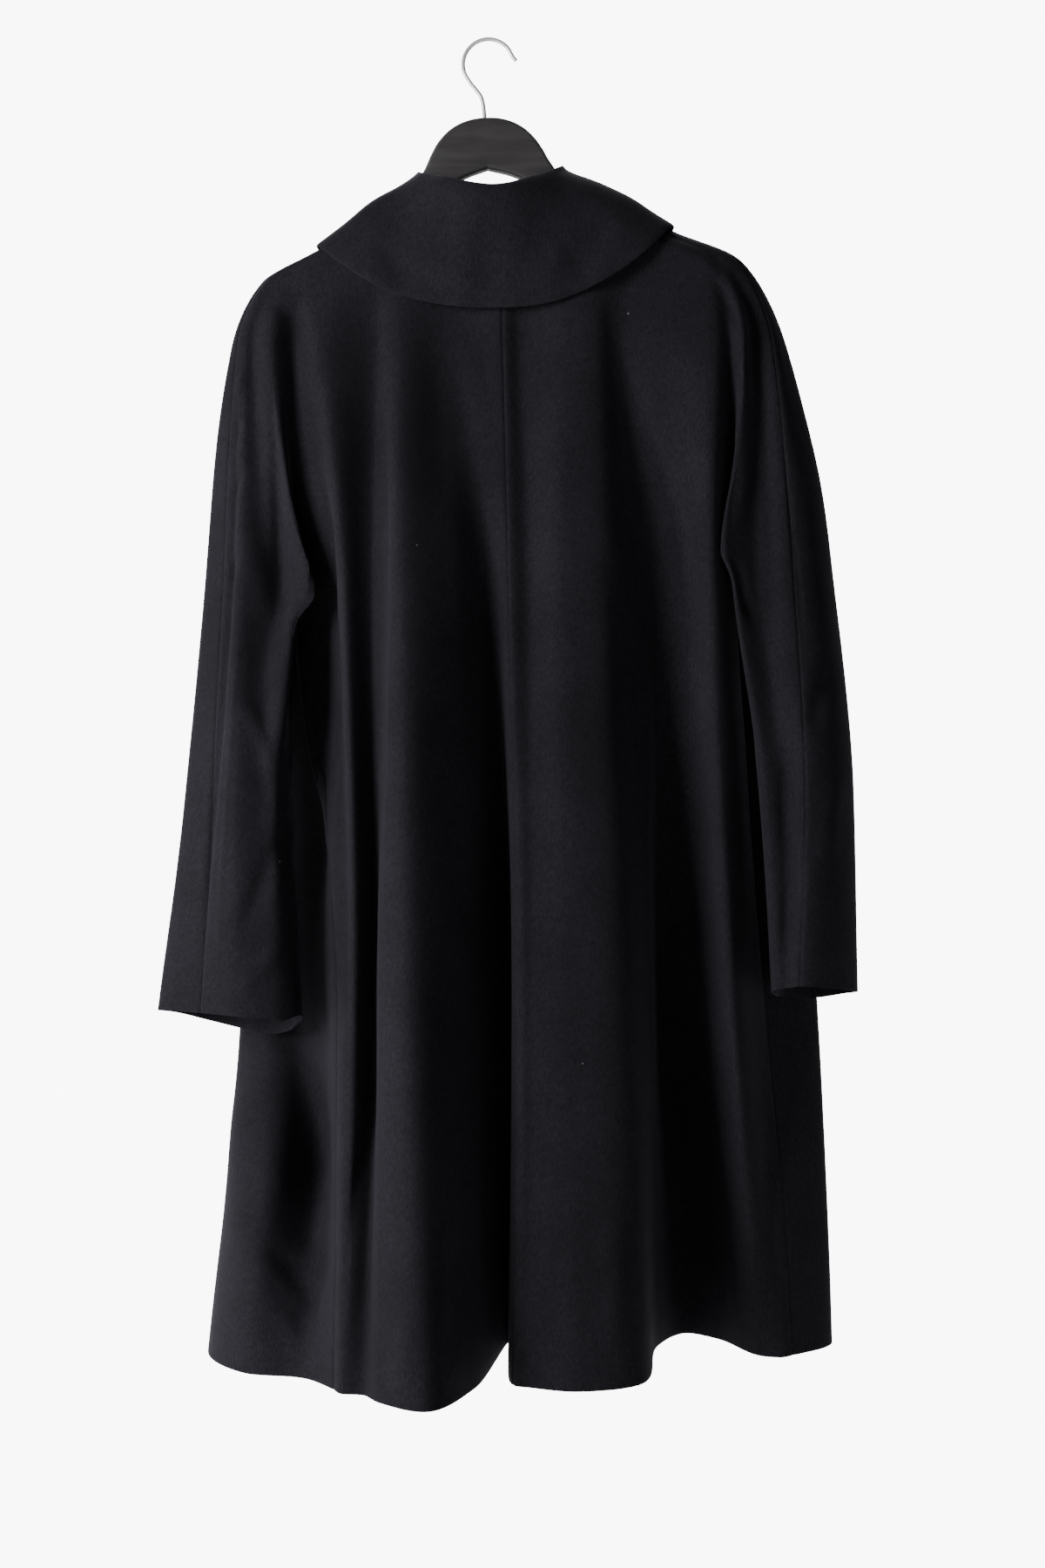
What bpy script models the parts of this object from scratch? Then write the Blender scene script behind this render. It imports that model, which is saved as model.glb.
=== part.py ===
"""Swing-cut car coat hanging on a flat wooden hanger.

The origin is at the inside top of the hook, +Z up. The front of the coat faces -Y, its back +Y,
and the wearer's left is +X. Tables hold millimetres, the mesh is in metres.
"""
import math

import bmesh
import bpy
import numpy as np

MM = 0.001

# ---------------------------------------------------------------- driving sizes, in mm
CLOTH_WALL = 1.8
COLLAR_WALL = 2.4
SEAM_GAP = 0.5
SEAM_STRIP = 1.3
GUSSET_CLEAR = 1.3
GUSSET_LENGTH = 70.0
UNDERARM_RADIUS = 5.0
UNDERARM_FADE = 150.0
# The folds that start under the arm leave it straight down, as from this far above
UNDERARM_STRAIGHT = 40.0

NECK_HALF_WIDTH = 68.0
NECK_BACK_DEPTH = 36.0
NECK_FRONT_DEPTH = 33.0
NECK_SIDE_HEIGHT_LEFT = -131.5
NECK_SIDE_HEIGHT_RIGHT = -122.5
NECK_BACK_DROP = 36.0
NECK_FRONT_DROP = 60.0
# The shoulder runs straight to this part of its length and sags a little there
SHOULDER_STRAIGHT = 0.65
SHOULDER_SAG = 2.5

# The collar stands up from the neck seam, nearly to its roll, and then falls outward
NECK_SEAM_LIFT = 1.8
STAND_SHARE = 0.72
ROLL_OUT = 4.0
ROLL_DOWN = 3.5

HANGER_TILT = math.radians(3.4)
HANGER_TOP = (3.5, -69.4)
HANGER_THICKNESS = 12.0
HANGER_EDGE_ROUND = 3.5
WIRE_RADIUS = 1.8
HOOK_RADIUS = 22.8
HOOK_BORE_DEPTH = 14.0
HOOK_BORE_CLEARANCE = 0.4
HOOK_BEND_HEIGHT = 2.0

# How far down the cloth each level lies, and its height on the left and right side
# level: run, left height, right height
LEVELS = {
    "shoulder": (85.0, -216.0, -196.6),
    "yoke": (143.0, -274.6, -270.0),
    "underarm": (360.0, -493.0, -466.0),
    "sleeve": (533.0, -665.0, -665.0),
    "wrist": (735.0, -867.0, -867.0),
    "skirt": (870.0, -1002.0, -1002.0),
    "hem": (1035.0, -1168.0, -1168.0),
}
LEFT_SIDE_X = 174.0
RIGHT_SIDE_X = -221.0

# ---------------------------------------------------------------- fold lines of the body
# Each row is a fold's crest, flank or valley, from the centre back round to the centre front:
# name, angle at the neck, then x, y at the shoulder, yoke, underarm, wrist and hem levels
LEFT_BACK = (
    ("centre_back", 0, -11, 30, -13, 27, -18, 54, -25, 98, -23, 118),
    ("valley_2", 8, 12, 27, 16, 21, -2, 38, -21, 28, -18, -12),
    ("wall_2", 17, 35, 26, 43, 22, 30, 64, 15, 92, 11, 130),
    ("ridge_2", 29, 64, 25, 77, 31, 70, 86, 61, 140, 46, 190),
    ("edge_2", 34, 76, 24, 88, 28, 82, 80, 88, 124, 86, 166),
    ("valley_1", 41, 92, 22, 99, 19, 100, 48, 95, 90, 100, 146),
    ("ridge_1", 53, 126, 20, 142, 29, 124, 62, 111, 108, 114, 143),
    ("foot_1", 60, 145, 18, 159, 23, 138, 33, 117, 104, 118, 142),
    ("notch_back", 67, 162, 16, 173, 16, 174, 15, 121, 99, 121, 139),
)
LEFT_FRONT = (
    ("notch_front", 114, 165, -14, 179, -20, 189, -20, 211, -58, 242, -60),
    ("front_ridge_1", 126, 135, -16, 144, -29, 142, -48, 177, -80, 194, -120),
    ("front_valley_1", 139, 102, -18, 104, -24, 109, -38, 130, -52, 136, -72),
    ("front_ridge_2", 154, 64, -22, 65, -32, 67, -64, 85, -98, 91, -136),
    ("front_flat", 167, 33, -26, 33, -29, 34, -56, 38, -80, 39, -100),
    ("centre_front", 180, 0, -28, 1, -31, 1, -60, 1, -84, 2, -106),
)
RIGHT_BACK = (
    ("valley_3", -8, -28, 28, -29, 22, -37, 50, -39, 104, -35, 124),
    ("ridge_3", -22, -61, 28, -70, 31, -62, 66, -71, 108, -77, 136),
    ("crest_3", -32, -86, 26, -95, 29, -99, 64, -118, 96, -129, 116),
    ("wall_3", -39, -104, 23, -111, 20, -126, 38, -143, 38, -151, 0),
    ("valley_4", -45, -119, 19, -120, 18, -147, 24, -154, -10, -180, -42),
    ("rise_4", -52, -142, 18, -146, 23, -170, 28, -186, 6, -209, -22),
    ("ridge_4", -62, -185, 17, -200, 28, -195, 48, -213, 56, -239, 30),
    ("notch_back", -69, -194, 15, -214, 21, -220, 15, -240, 20, -258, 36),
)
RIGHT_FRONT = (
    ("notch_front", -114, -197, -14, -219, -18, -235, -19, -248, -64, -262, -84),
    ("front_ridge_4", -127, -164, -16, -169, -31, -179, -54, -192, -90, -197, -128),
    ("front_valley_3", -142, -109, -18, -106, -25, -114, -42, -129, -56, -136, -72),
    ("front_ridge_3", -156, -66, -22, -66, -33, -71, -66, -80, -104, -85, -140),
    ("front_flat", -168, -30, -26, -30, -29, -30, -54, -30, -76, -32, -95),
)
# The body's side below the arm, from the back notch to the front notch:
# name, then x, y at the underarm, wrist, skirt and hem levels
LEFT_SIDE = (
    ("side_seam", 176, 0, 127, 86, 127, 98, 126, 130),
    ("valley_0", 179, -7, 168, 6, 149, 24, 156, 98),
    ("ridge_00", 181, -10, 198, 0, 192, 54, 206, 84),
    ("side_edge", 183, -13, 225, -28, 229, 14, 245, 30),
)
RIGHT_SIDE = (
    ("side_seam", -223, 1, -247, 8, -258, 18, -268, 30),
    ("side_edge", -227, -6, -298, -28, -303, -16, -307, -6),
    ("side_front", -231, -13, -286, -56, -295, -56, -301, -58),
)

# ---------------------------------------------------------------- fold lines of the sleeves
# From the back notch over the outer arm to the front notch: name, angle at the neck,
# then x, y at the shoulder, yoke, underarm and sleeve levels, and x, y, height at the cuff
LEFT_SLEEVE = (
    ("notch_back", 67, 162, 16, 173, 16, 174, 15, 174, 56, 161, 80, -863),
    ("ridge_0", 74, 179, 12, 191, 27, 168, 46, 181, 74, 175, 93, -866),
    ("valley_s", 79, 188, 10, 208, 15, 195, 30, 193, 76, 191, 97, -864),
    ("ridge_s", 84, 196, 8, 216, 14, 217, 36, 216, 80, 215, 96, -862),
    ("over_seam", 89, 200, 4, 224, 8, 234, 24, 238, 62, 245, 80, -861),
    ("outer_edge", 94, 202, -1, 230, -3, 254, 0, 264, 35, 286, 50, -862),
    ("front_outer", 99, 200, -6, 227, -14, 245, -26, 255, 8, 274, 24, -867),
    ("front_mid", 106, 188, -10, 203, -24, 204, -36, 219, 2, 231, 14, -879),
    ("notch_front", 114, 165, -14, 179, -20, 189, -20, 192, 14, 191, 28, -885),
)
RIGHT_SLEEVE = (
    ("notch_back", -69, -194, 15, -214, 21, -220, 15, -236, 52, -248, 62, -843),
    ("ridge_5", -74, -202, 12, -225, 30, -214, 45, -239, 66, -249, 80, -841),
    ("valley_6", -79, -210, 10, -235, 16, -236, 34, -255, 66, -257, 84, -839),
    ("over_seam", -86, -221, 5, -251, 18, -266, 43, -272, 82, -266, 93, -837),
    ("back_outer", -90, -224, 2, -260, 8, -287, 35, -298, 71, -296, 80, -840),
    ("outer_edge", -94, -225, -1, -265, -3, -306, 0, -320, 34, -322, 45, -846),
    ("front_outer", -99, -222, -7, -262, -14, -298, -28, -314, 8, -317, 14, -851),
    ("front_mid", -106, -207, -11, -242, -24, -261, -36, -284, 2, -291, 4, -856),
    ("notch_front", -114, -197, -14, -220, -18, -235, -19, -259, 12, -265, 14, -854),
)
# The sleeve's inner side below the underarm, from the front notch to the back notch:
# name, then x, y at the underarm and sleeve levels, and x, y, height at the cuff
LEFT_INNER = (
    ("inner_front", 183, -13, 182, 26, 174, 42, -880),
    ("inner_mid", 179, -7, 177, 34, 167, 52, -874),
    ("under_seam", 176, 0, 174, 44, 160, 66, -868),
)
RIGHT_INNER = (
    ("inner_front", -231, -13, -250, 22, -255, 28, -852),
    ("inner_mid", -227, -6, -244, 31, -251, 38, -850),
    ("under_seam", -223, 1, -239, 40, -247, 50, -847),
)

# ---------------------------------------------------------------- the collar
# name, angle at the neck, x, y, height of the roll, x, y, height of the outer edge, bulge
COLLAR = (
    ("front_end", 177, 3, -40, -180, 5, -38, -243, 2),
    ("front_corner", 166, 15, -38, -168, 32, -39, -262, 2),
    ("front", 150, 30, -34, -153, 63, -38, -262, 2),
    ("front_side", 132, 45, -26, -138, 98, -33, -243, 3),
    ("shoulder_front", 114, 56, -17, -127, 127, -26, -218, 3),
    ("ridge_front", 100, 62, -8, -121, 149, -14, -190, 3),
    ("ridge", 90, 63, 0, -119, 154, 0, -184, 2),
    ("ridge_back", 82, 61, 8, -121, 149, 12, -188, 3),
    ("shoulder_back", 72, 57, 15, -124, 127, 24, -207, 3),
    ("back_side", 60, 48, 23, -128, 100, 31, -225, 4),
    ("back", 42, 34, 33, -133, 61, 35, -240, 4),
    ("back_inner", 22, 16, 40, -139, 25, 36, -246, 4),
    ("centre_back", 0, -1, 42, -141, -6, 36, -247, 4),
    ("back_inner", -22, -17, 40, -139, -30, 36, -246, 4),
    ("back", -42, -34, 33, -133, -62, 35, -240, 4),
    ("back_side", -60, -50, 23, -126, -107, 32, -219, 5),
    ("shoulder_back", -72, -59, 15, -120, -141, 28, -193, 6),
    ("ridge_back", -82, -64, 8, -116, -161, 13, -171, 4),
    ("ridge", -90, -66, 0, -113, -166, -1, -167, 4),
    ("ridge_front", -100, -65, -8, -115, -161, -14, -175, 4),
    ("shoulder_front", -114, -58, -17, -122, -136, -27, -206, 3),
    ("front_side", -132, -46, -26, -136, -102, -34, -238, 3),
    ("front", -150, -31, -34, -152, -64, -38, -261, 2),
    ("front_corner", -166, -15, -38, -168, -32, -39, -262, 2),
    ("front_end", -177, -3, -40, -180, -5, -38, -243, 2),
)

# ---------------------------------------------------------------- the hanger
# Half of its outline from the middle of its top, in its own upright frame
HANGER_OVER = (
    (0, 0), (12, -0.9), (24, -4.6), (34, -10.6), (43, -19.6), (50, -30.5), (55, -40.5), (60.5, -50),
    (67, -64), (78, -70.5), (188, -129.5), (194, -134), (197, -141), (195, -148), (189, -151.5),
)
HANGER_UNDER = ((130, -120), (70, -87), (48, -70), (33, -58.5), (18, -51.5), (0, -46))
# The wire from its tip to the stem, seen in the coat's own frame
HOOK_CENTRE = (0.0, -21.0)
HOOK_ARC = (162, -42)
HOOK_ARC_POINTS = 9
HOOK_STEPS_BETWEEN = 3
HOOK_TIP = (-24.6, -17.4)
HOOK_RETURN = ((11.6, -43.0), (7.3, -48.8), (5.1, -55.5))

# ---------------------------------------------------------------- rows and columns of the mesh
UNDERARM_RUN = LEVELS["underarm"][0]
UPPER_RUNS = (0, 20, 42, 64, 85, 103, 123, 150, 190, 235, 280, 320, 360)
BODY_RUNS = (360, 362, 366, 376, 400, 415, 430, 485, 545, 610, 680, 750, 820, 890, 950, 1000, 1035)
SLEEVE_RUNS = (360, 362, 366, 376, 400, 415, 430, 485, 545, 610, 675, 735)
GUSSET_RUNS = (360, 362, 366, 376, 400, 415, 425)
GUSSET_COLUMNS = 8
SHORT_STEP = 0.05
WELD = 1e-6
COLLAR_PLACES = (0, 1, 1.5, 2, 2.5, 3, 3.5, 4, 4.5, 5)


def smooth_through(stops, values, at):
    """Value at one stop of a curve through all values that overshoots none of them."""
    steps = np.diff(stops)
    slopes = np.diff(values) / steps
    bends = np.concatenate(([slopes[0]], np.zeros(len(steps) - 1), [slopes[-1]]))
    for i in range(1, len(steps)):
        if slopes[i - 1] * slopes[i] > 0.0:
            before = 2.0 * steps[i] + steps[i - 1]
            after = steps[i] + 2.0 * steps[i - 1]
            bends[i] = (before + after) / (before / slopes[i - 1] + after / slopes[i])
    i = int(np.clip(np.searchsorted(stops, at) - 1, 0, len(steps) - 1))
    u = (at - stops[i]) / steps[i]
    return (
        values[i] * (1.0 + 2.0 * u) * (1.0 - u) ** 2
        + values[i + 1] * u * u * (3.0 - 2.0 * u)
        + bends[i] * steps[i] * u * (1.0 - u) ** 2
        - bends[i + 1] * steps[i] * u * u * (1.0 - u)
    )


def along(points, place, closed=True):
    """Point on a smooth curve through the points; place counts points and parts of one."""
    count = len(points)
    start = int(math.floor(place + 1e-9))
    if not closed:
        start = min(start, count - 2)
    u = place - start
    near = []
    for step in (-1, 0, 1, 2):
        index = start + step
        near.append(points[index % count] if closed else points[min(max(index, 0), count - 1)])
    before, here, there, after = near
    gap = [max(np.linalg.norm(b - a), 1e-4) ** 0.5 for a, b in zip(near, near[1:])]
    leave = (here - before) / gap[0] - (there - before) / (gap[0] + gap[1]) + (there - here) / gap[1]
    reach = (there - here) / gap[1] - (after - here) / (gap[1] + gap[2]) + (after - there) / gap[2]
    return (
        here * (1.0 + 2.0 * u) * (1.0 - u) ** 2
        + there * u * u * (3.0 - 2.0 * u)
        + leave * gap[1] * u * (1.0 - u) ** 2
        - reach * gap[1] * u * u * (1.0 - u)
    )


def neck_point(angle):
    """Point of the neck seam; the angle runs from the centre back round to the left."""
    turn = math.radians(angle)
    back = math.cos(turn)
    depth = NECK_BACK_DEPTH if back > 0.0 else NECK_FRONT_DEPTH
    drop = NECK_BACK_DROP if back > 0.0 else NECK_FRONT_DROP
    side = 0.5 + 0.5 * math.sin(turn)
    height = NECK_SIDE_HEIGHT_RIGHT + (NECK_SIDE_HEIGHT_LEFT - NECK_SIDE_HEIGHT_RIGHT) * side
    return (NECK_HALF_WIDTH * math.sin(turn), depth * back, height - drop * abs(back) ** 1.5)


def level_height(level, x):
    """Height of a level at one x: it slopes from the left side to the right."""
    _, left, right = LEVELS[level]
    side = np.clip((x - RIGHT_SIDE_X) / (LEFT_SIDE_X - RIGHT_SIDE_X), 0.0, 1.0)
    return right + (left - right) * side


def fold_line(levels, numbers, angle=None, end_height=None):
    """A fold's stops down the cloth and its points there; one with no angle starts at the underarm."""
    stops = [LEVELS[level][0] for level in levels]
    points = []
    for level, x, y in zip(levels, numbers[0::2], numbers[1::2]):
        points.append((x, y, level_height(level, x)))
    if end_height is not None:
        points[-1] = (*points[-1][:2], end_height)
    if angle is None:
        x, y, height = points[0]
        stops[:0] = (stops[0] - UNDERARM_STRAIGHT,)
        points[:0] = ((x, y, height + UNDERARM_STRAIGHT),)
    else:
        neck = neck_point(angle)
        straight = [a + SHOULDER_STRAIGHT * (b - a) for a, b in zip(neck, points[0])]
        straight[2] -= SHOULDER_SAG
        stops[:0] = (0.0, SHOULDER_STRAIGHT * stops[0])
        points[:0] = (neck, straight)
    return np.array(stops), np.array(points, dtype=float)


def body_lines(table):
    """Fold lines from the neck to the hem."""
    levels = ("shoulder", "yoke", "underarm", "wrist", "hem")
    return [fold_line(levels, row[2:], row[1]) for row in table]


def side_lines(table):
    """Fold lines from the underarm to the hem."""
    return [fold_line(("underarm", "wrist", "skirt", "hem"), row[1:]) for row in table]


def sleeve_lines(table):
    """Fold lines from the neck to the cuff."""
    levels = ("shoulder", "yoke", "underarm", "sleeve", "wrist")
    return [fold_line(levels, row[2:-1], row[1], row[-1]) for row in table]


def inner_lines(table):
    """Fold lines from the underarm to the cuff."""
    return [fold_line(("underarm", "sleeve", "wrist"), row[1:-1], None, row[-1]) for row in table]


def ring(lines, run):
    """The points of all fold lines at one distance down the cloth."""
    points = []
    for stops, places in lines:
        points.append([smooth_through(stops, places[:, axis], run) for axis in range(3)])
    return np.array(points)


def count_per_mm(points, place, direction):
    """How much of the ring's count one millimetre takes beside a place."""
    near = along(points, place + SHORT_STEP * direction) - along(points, place)
    return SHORT_STEP / max(np.linalg.norm(near), SHORT_STEP)


def beside_seam(points, seam, direction):
    """Two places beside a seam: half its gap away, and a narrow strip further on."""
    count = count_per_mm(points, seam, direction)
    return [seam + direction * 0.5 * SEAM_GAP * count, seam + direction * SEAM_STRIP * count]


def half_steps(start, end):
    """Places from one fold line to another, with one halfway between each two."""
    return [0.5 * step for step in range(2 * start, 2 * end + 1)]


def gusset_share(run):
    """Part of the side that the gusset has given back to the panels, 0 to 1."""
    return min((run - UNDERARM_RUN) / GUSSET_LENGTH, 1.0)


def toward_gusset(points, run, notch, seam):
    """Places from past a notch to where the gusset leaves off, the last two beside the seam."""
    direction = 1.0 if seam > notch else -1.0
    reach = gusset_share(run) * abs(seam - notch)
    count = count_per_mm(points, notch + direction * reach, -direction)
    strip = max(reach - SEAM_STRIP * count, 0.0)
    end = max(reach - 0.5 * SEAM_GAP * count, 0.0)
    steps = 2 * abs(seam - notch)
    return [notch + direction * strip * (n + 1) / steps for n in range(steps)] + [notch + direction * end]


def underarm_spread(run):
    """How far the cloth has spread from the fold under the arm: a round, then back to none."""
    drop = min((run - UNDERARM_RUN) / UNDERARM_RADIUS, 1.0)
    fade = min(max(run - UNDERARM_RUN - UNDERARM_RADIUS, 0.0) / UNDERARM_FADE, 1.0)
    return UNDERARM_RADIUS * math.sqrt(1.0 - (1.0 - drop) ** 2) * (1.0 - fade)


def spread_ring(lines, run, first, last, shift):
    """A ring below the underarm, with the lines at the arm spread by the round there."""
    points = ring(lines, run)
    for index in range(first, last + 1):
        points[index % len(points), 0] += shift * underarm_spread(run)
    return points


def add_sheet(sheet, rows, flip):
    """Add the faces between rows of points to a mesh."""
    grid = [[sheet.verts.new(np.array(point) * MM) for point in row] for row in rows]
    for upper, lower in zip(grid, grid[1:]):
        for a, b, c, d in zip(upper, upper[1:], lower[1:], lower):
            sheet.faces.new((a, d, c, b) if flip else (a, b, c, d))


def finish_sheet(name, sheet, wall, material, collection):
    """Make an object of a sheet and give it its wall."""
    bmesh.ops.remove_doubles(sheet, verts=sheet.verts, dist=WELD)
    mesh = bpy.data.meshes.new(name)
    sheet.to_mesh(mesh)
    sheet.free()
    mesh.shade_smooth()
    mesh.materials.append(material)
    cloth = bpy.data.objects.new(name, mesh)
    collection.objects.link(cloth)
    solidify = cloth.modifiers.new("wall", "SOLIDIFY")
    solidify.thickness = wall * MM
    solidify.offset = 0.0
    return cloth


class CoatHalf:
    """One side of the coat: its rings of fold lines, and where the seams lie among them.

    The upper and body rings start one line before the centre back and end one line past the
    centre front, so that the curves run on smoothly through both.
    """

    def __init__(self, name, back, side, front, sleeve, inner, next_back, next_front, over_seam):
        self.name = name
        self.flip = name == "right"
        self.spread = 1.0 if name == "left" else -1.0
        back = body_lines((next_back, *back))
        front = body_lines((*front, next_front))
        sleeve = sleeve_lines(sleeve)
        self.upper = back + sleeve[1:-1] + front
        self.body = back + side_lines(side) + front
        self.sleeve = sleeve + inner_lines(inner)
        self.centre_back = 1
        self.notch_back = len(back) - 1
        self.over_seam = self.notch_back + over_seam
        self.upper_notch_front = self.notch_back + len(sleeve) - 1
        self.upper_centre_front = self.upper_notch_front + len(front) - 2
        self.side_seam = self.notch_back + 1
        self.body_notch_front = self.notch_back + len(side) + 1
        self.body_centre_front = self.body_notch_front + len(front) - 2
        self.sleeve_over = over_seam
        self.sleeve_notch_front = len(sleeve) - 1
        self.under_seam = len(self.sleeve) - 1

    def body_ring(self, run):
        """Body ring at one run, from beyond the centre back to beyond the centre front."""
        return spread_ring(self.body, run, self.notch_back, self.body_notch_front, -self.spread)

    def sleeve_ring(self, run):
        """Sleeve ring at one run; it is closed, and the notch at the back is its first point."""
        return spread_ring(self.sleeve, run, self.sleeve_notch_front, len(self.sleeve), self.spread)

    def rows(self, ring_at, runs, places_at):
        """Rows of points down the cloth."""
        result = []
        for run in runs:
            points = ring_at(run)
            result.append([along(points, place) for place in places_at(points, run)])
        return result

    def upper_ring(self, run):
        """Ring above the underarm, from beyond the centre back to beyond the centre front."""
        return ring(self.upper, run)

    def back(self, material, collection):
        """The back with its half of the sleeve."""
        start, notch, over = self.centre_back, self.notch_back, self.over_seam
        upper = self.rows(self.upper_ring, UPPER_RUNS, lambda points, run: (
            beside_seam(points, start, 1) + half_steps(start, over)[1:-1]
            + beside_seam(points, over, -1)[::-1]
        ))
        body = self.rows(self.body_ring, BODY_RUNS, lambda points, run: (
            beside_seam(points, start, 1) + half_steps(start, notch)[1:]
            + toward_gusset(points, run, notch, self.side_seam)
        ))
        over = self.sleeve_over
        sleeve = self.rows(self.sleeve_ring, SLEEVE_RUNS, lambda points, run: (
            toward_gusset(points, run, 0, -1)[::-1]
            + half_steps(0, over)[:-1] + beside_seam(points, over, -1)[::-1]
        ))
        kept = 1 + len(half_steps(start, notch))
        corner = upper[-1][kept - 1]
        body[0] = upper[-1][:kept] + [corner] * (len(body[0]) - kept)
        sleeve[0] = [corner] * (len(sleeve[0]) - len(upper[-1]) + kept - 1) + upper[-1][kept - 1:]
        return self.panel("back_", (upper, body, sleeve), self.flip, material, collection)

    def front(self, material, collection):
        """The front with its half of the sleeve."""
        over, end = self.over_seam, self.upper_centre_front
        upper = self.rows(self.upper_ring, UPPER_RUNS, lambda points, run: (
            beside_seam(points, over, 1) + half_steps(over, end)[1:-1]
            + beside_seam(points, end, -1)[::-1]
        ))
        notch, last = self.body_notch_front, self.body_centre_front
        body = self.rows(self.body_ring, BODY_RUNS, lambda points, run: (
            toward_gusset(points, run, notch, self.side_seam)[::-1]
            + half_steps(notch, last)[:-1] + beside_seam(points, last, -1)[::-1]
        ))
        start, arm = self.sleeve_over, self.sleeve_notch_front
        sleeve = self.rows(self.sleeve_ring, SLEEVE_RUNS, lambda points, run: (
            beside_seam(points, start, 1) + half_steps(start, arm)[1:]
            + toward_gusset(points, run, arm, self.under_seam)
        ))
        kept = 1 + len(half_steps(start, arm))
        corner = upper[-1][kept - 1]
        sleeve[0] = upper[-1][:kept] + [corner] * (len(sleeve[0]) - kept)
        body[0] = [corner] * (len(body[0]) - len(upper[-1]) + kept - 1) + upper[-1][kept - 1:]
        return self.panel("front_", (upper, body, sleeve), self.flip, material, collection)

    def gusset(self, material, collection):
        """The diamond under the arm: it runs from the body up over the fold and down the sleeve."""
        body = self.rows(self.body_ring, GUSSET_RUNS[::-1], lambda points, run: (
            self.gusset_places(points, run, self.notch_back, self.side_seam, self.body_notch_front)
        ))
        closed = len(self.sleeve)
        sleeve = self.rows(self.sleeve_ring, GUSSET_RUNS[1:], lambda points, run: (
            self.gusset_places(points, run, closed, self.under_seam, self.sleeve_notch_front)
        ))
        return self.panel("gusset_", (body + sleeve,), not self.flip, material, collection)

    def gusset_places(self, points, run, first, seam, last):
        """Places across the gusset, from its back edge to its front edge."""
        share = gusset_share(run)
        direction = 1.0 if last > first else -1.0
        start = first + share * (seam - first)
        end = last + share * (seam - last)
        start += direction * GUSSET_CLEAR * count_per_mm(points, start, direction)
        end -= direction * GUSSET_CLEAR * count_per_mm(points, end, -direction)
        return np.linspace(start, end, GUSSET_COLUMNS)

    def panel(self, kind, grids, flip, material, collection):
        """One cloth piece from its grids of points, welded where they share a row."""
        sheet = bmesh.new()
        for rows in grids:
            add_sheet(sheet, rows, flip)
        return finish_sheet(kind + self.name, sheet, CLOTH_WALL, material, collection)


def collar_line(row):
    """Points down one line of the collar, from the neck seam over the roll to the outer edge."""
    _, angle, *numbers, bulge = row
    roll = np.array(numbers[:3], dtype=float)
    edge = np.array(numbers[3:], dtype=float)
    turn = math.radians(angle)
    outward = np.array((math.sin(turn), math.cos(turn), 0.0))
    sideways = np.array((math.cos(turn), -math.sin(turn), 0.0))
    neck = np.array(neck_point(angle)) + (0.0, 0.0, NECK_SEAM_LIFT)
    roll_inside = neck + STAND_SHARE * (roll - neck)
    roll_outside = roll + ROLL_OUT * outward - (0.0, 0.0, ROLL_DOWN)
    lift = np.cross(sideways, edge - roll)
    middle = 0.5 * (roll + edge) + bulge * lift / np.linalg.norm(lift)
    return [neck, roll_inside, roll, roll_outside, middle, edge]


def make_collar(material, collection):
    """The collar: a stand from the neck seam, the roll, and the wide fall."""
    lines = [collar_line(row) for row in COLLAR]
    places = [0.0]
    for line in range(len(lines) - 1):
        places += [line + 0.5, line + 1.0]
    sheet = bmesh.new()
    rows = []
    for stop in COLLAR_PLACES:
        points = [along(line, stop, closed=False) for line in lines]
        rows.append([along(points, place, closed=False) for place in places])
    add_sheet(sheet, rows, False)
    return finish_sheet("collar", sheet, COLLAR_WALL, material, collection)


def tilted(x, height):
    """A point of the hanger's own frame, seen in the coat's."""
    turn = HANGER_TILT
    return (
        HANGER_TOP[0] + x * math.cos(turn) + height * math.sin(turn),
        HANGER_TOP[1] - x * math.sin(turn) + height * math.cos(turn),
    )


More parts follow.
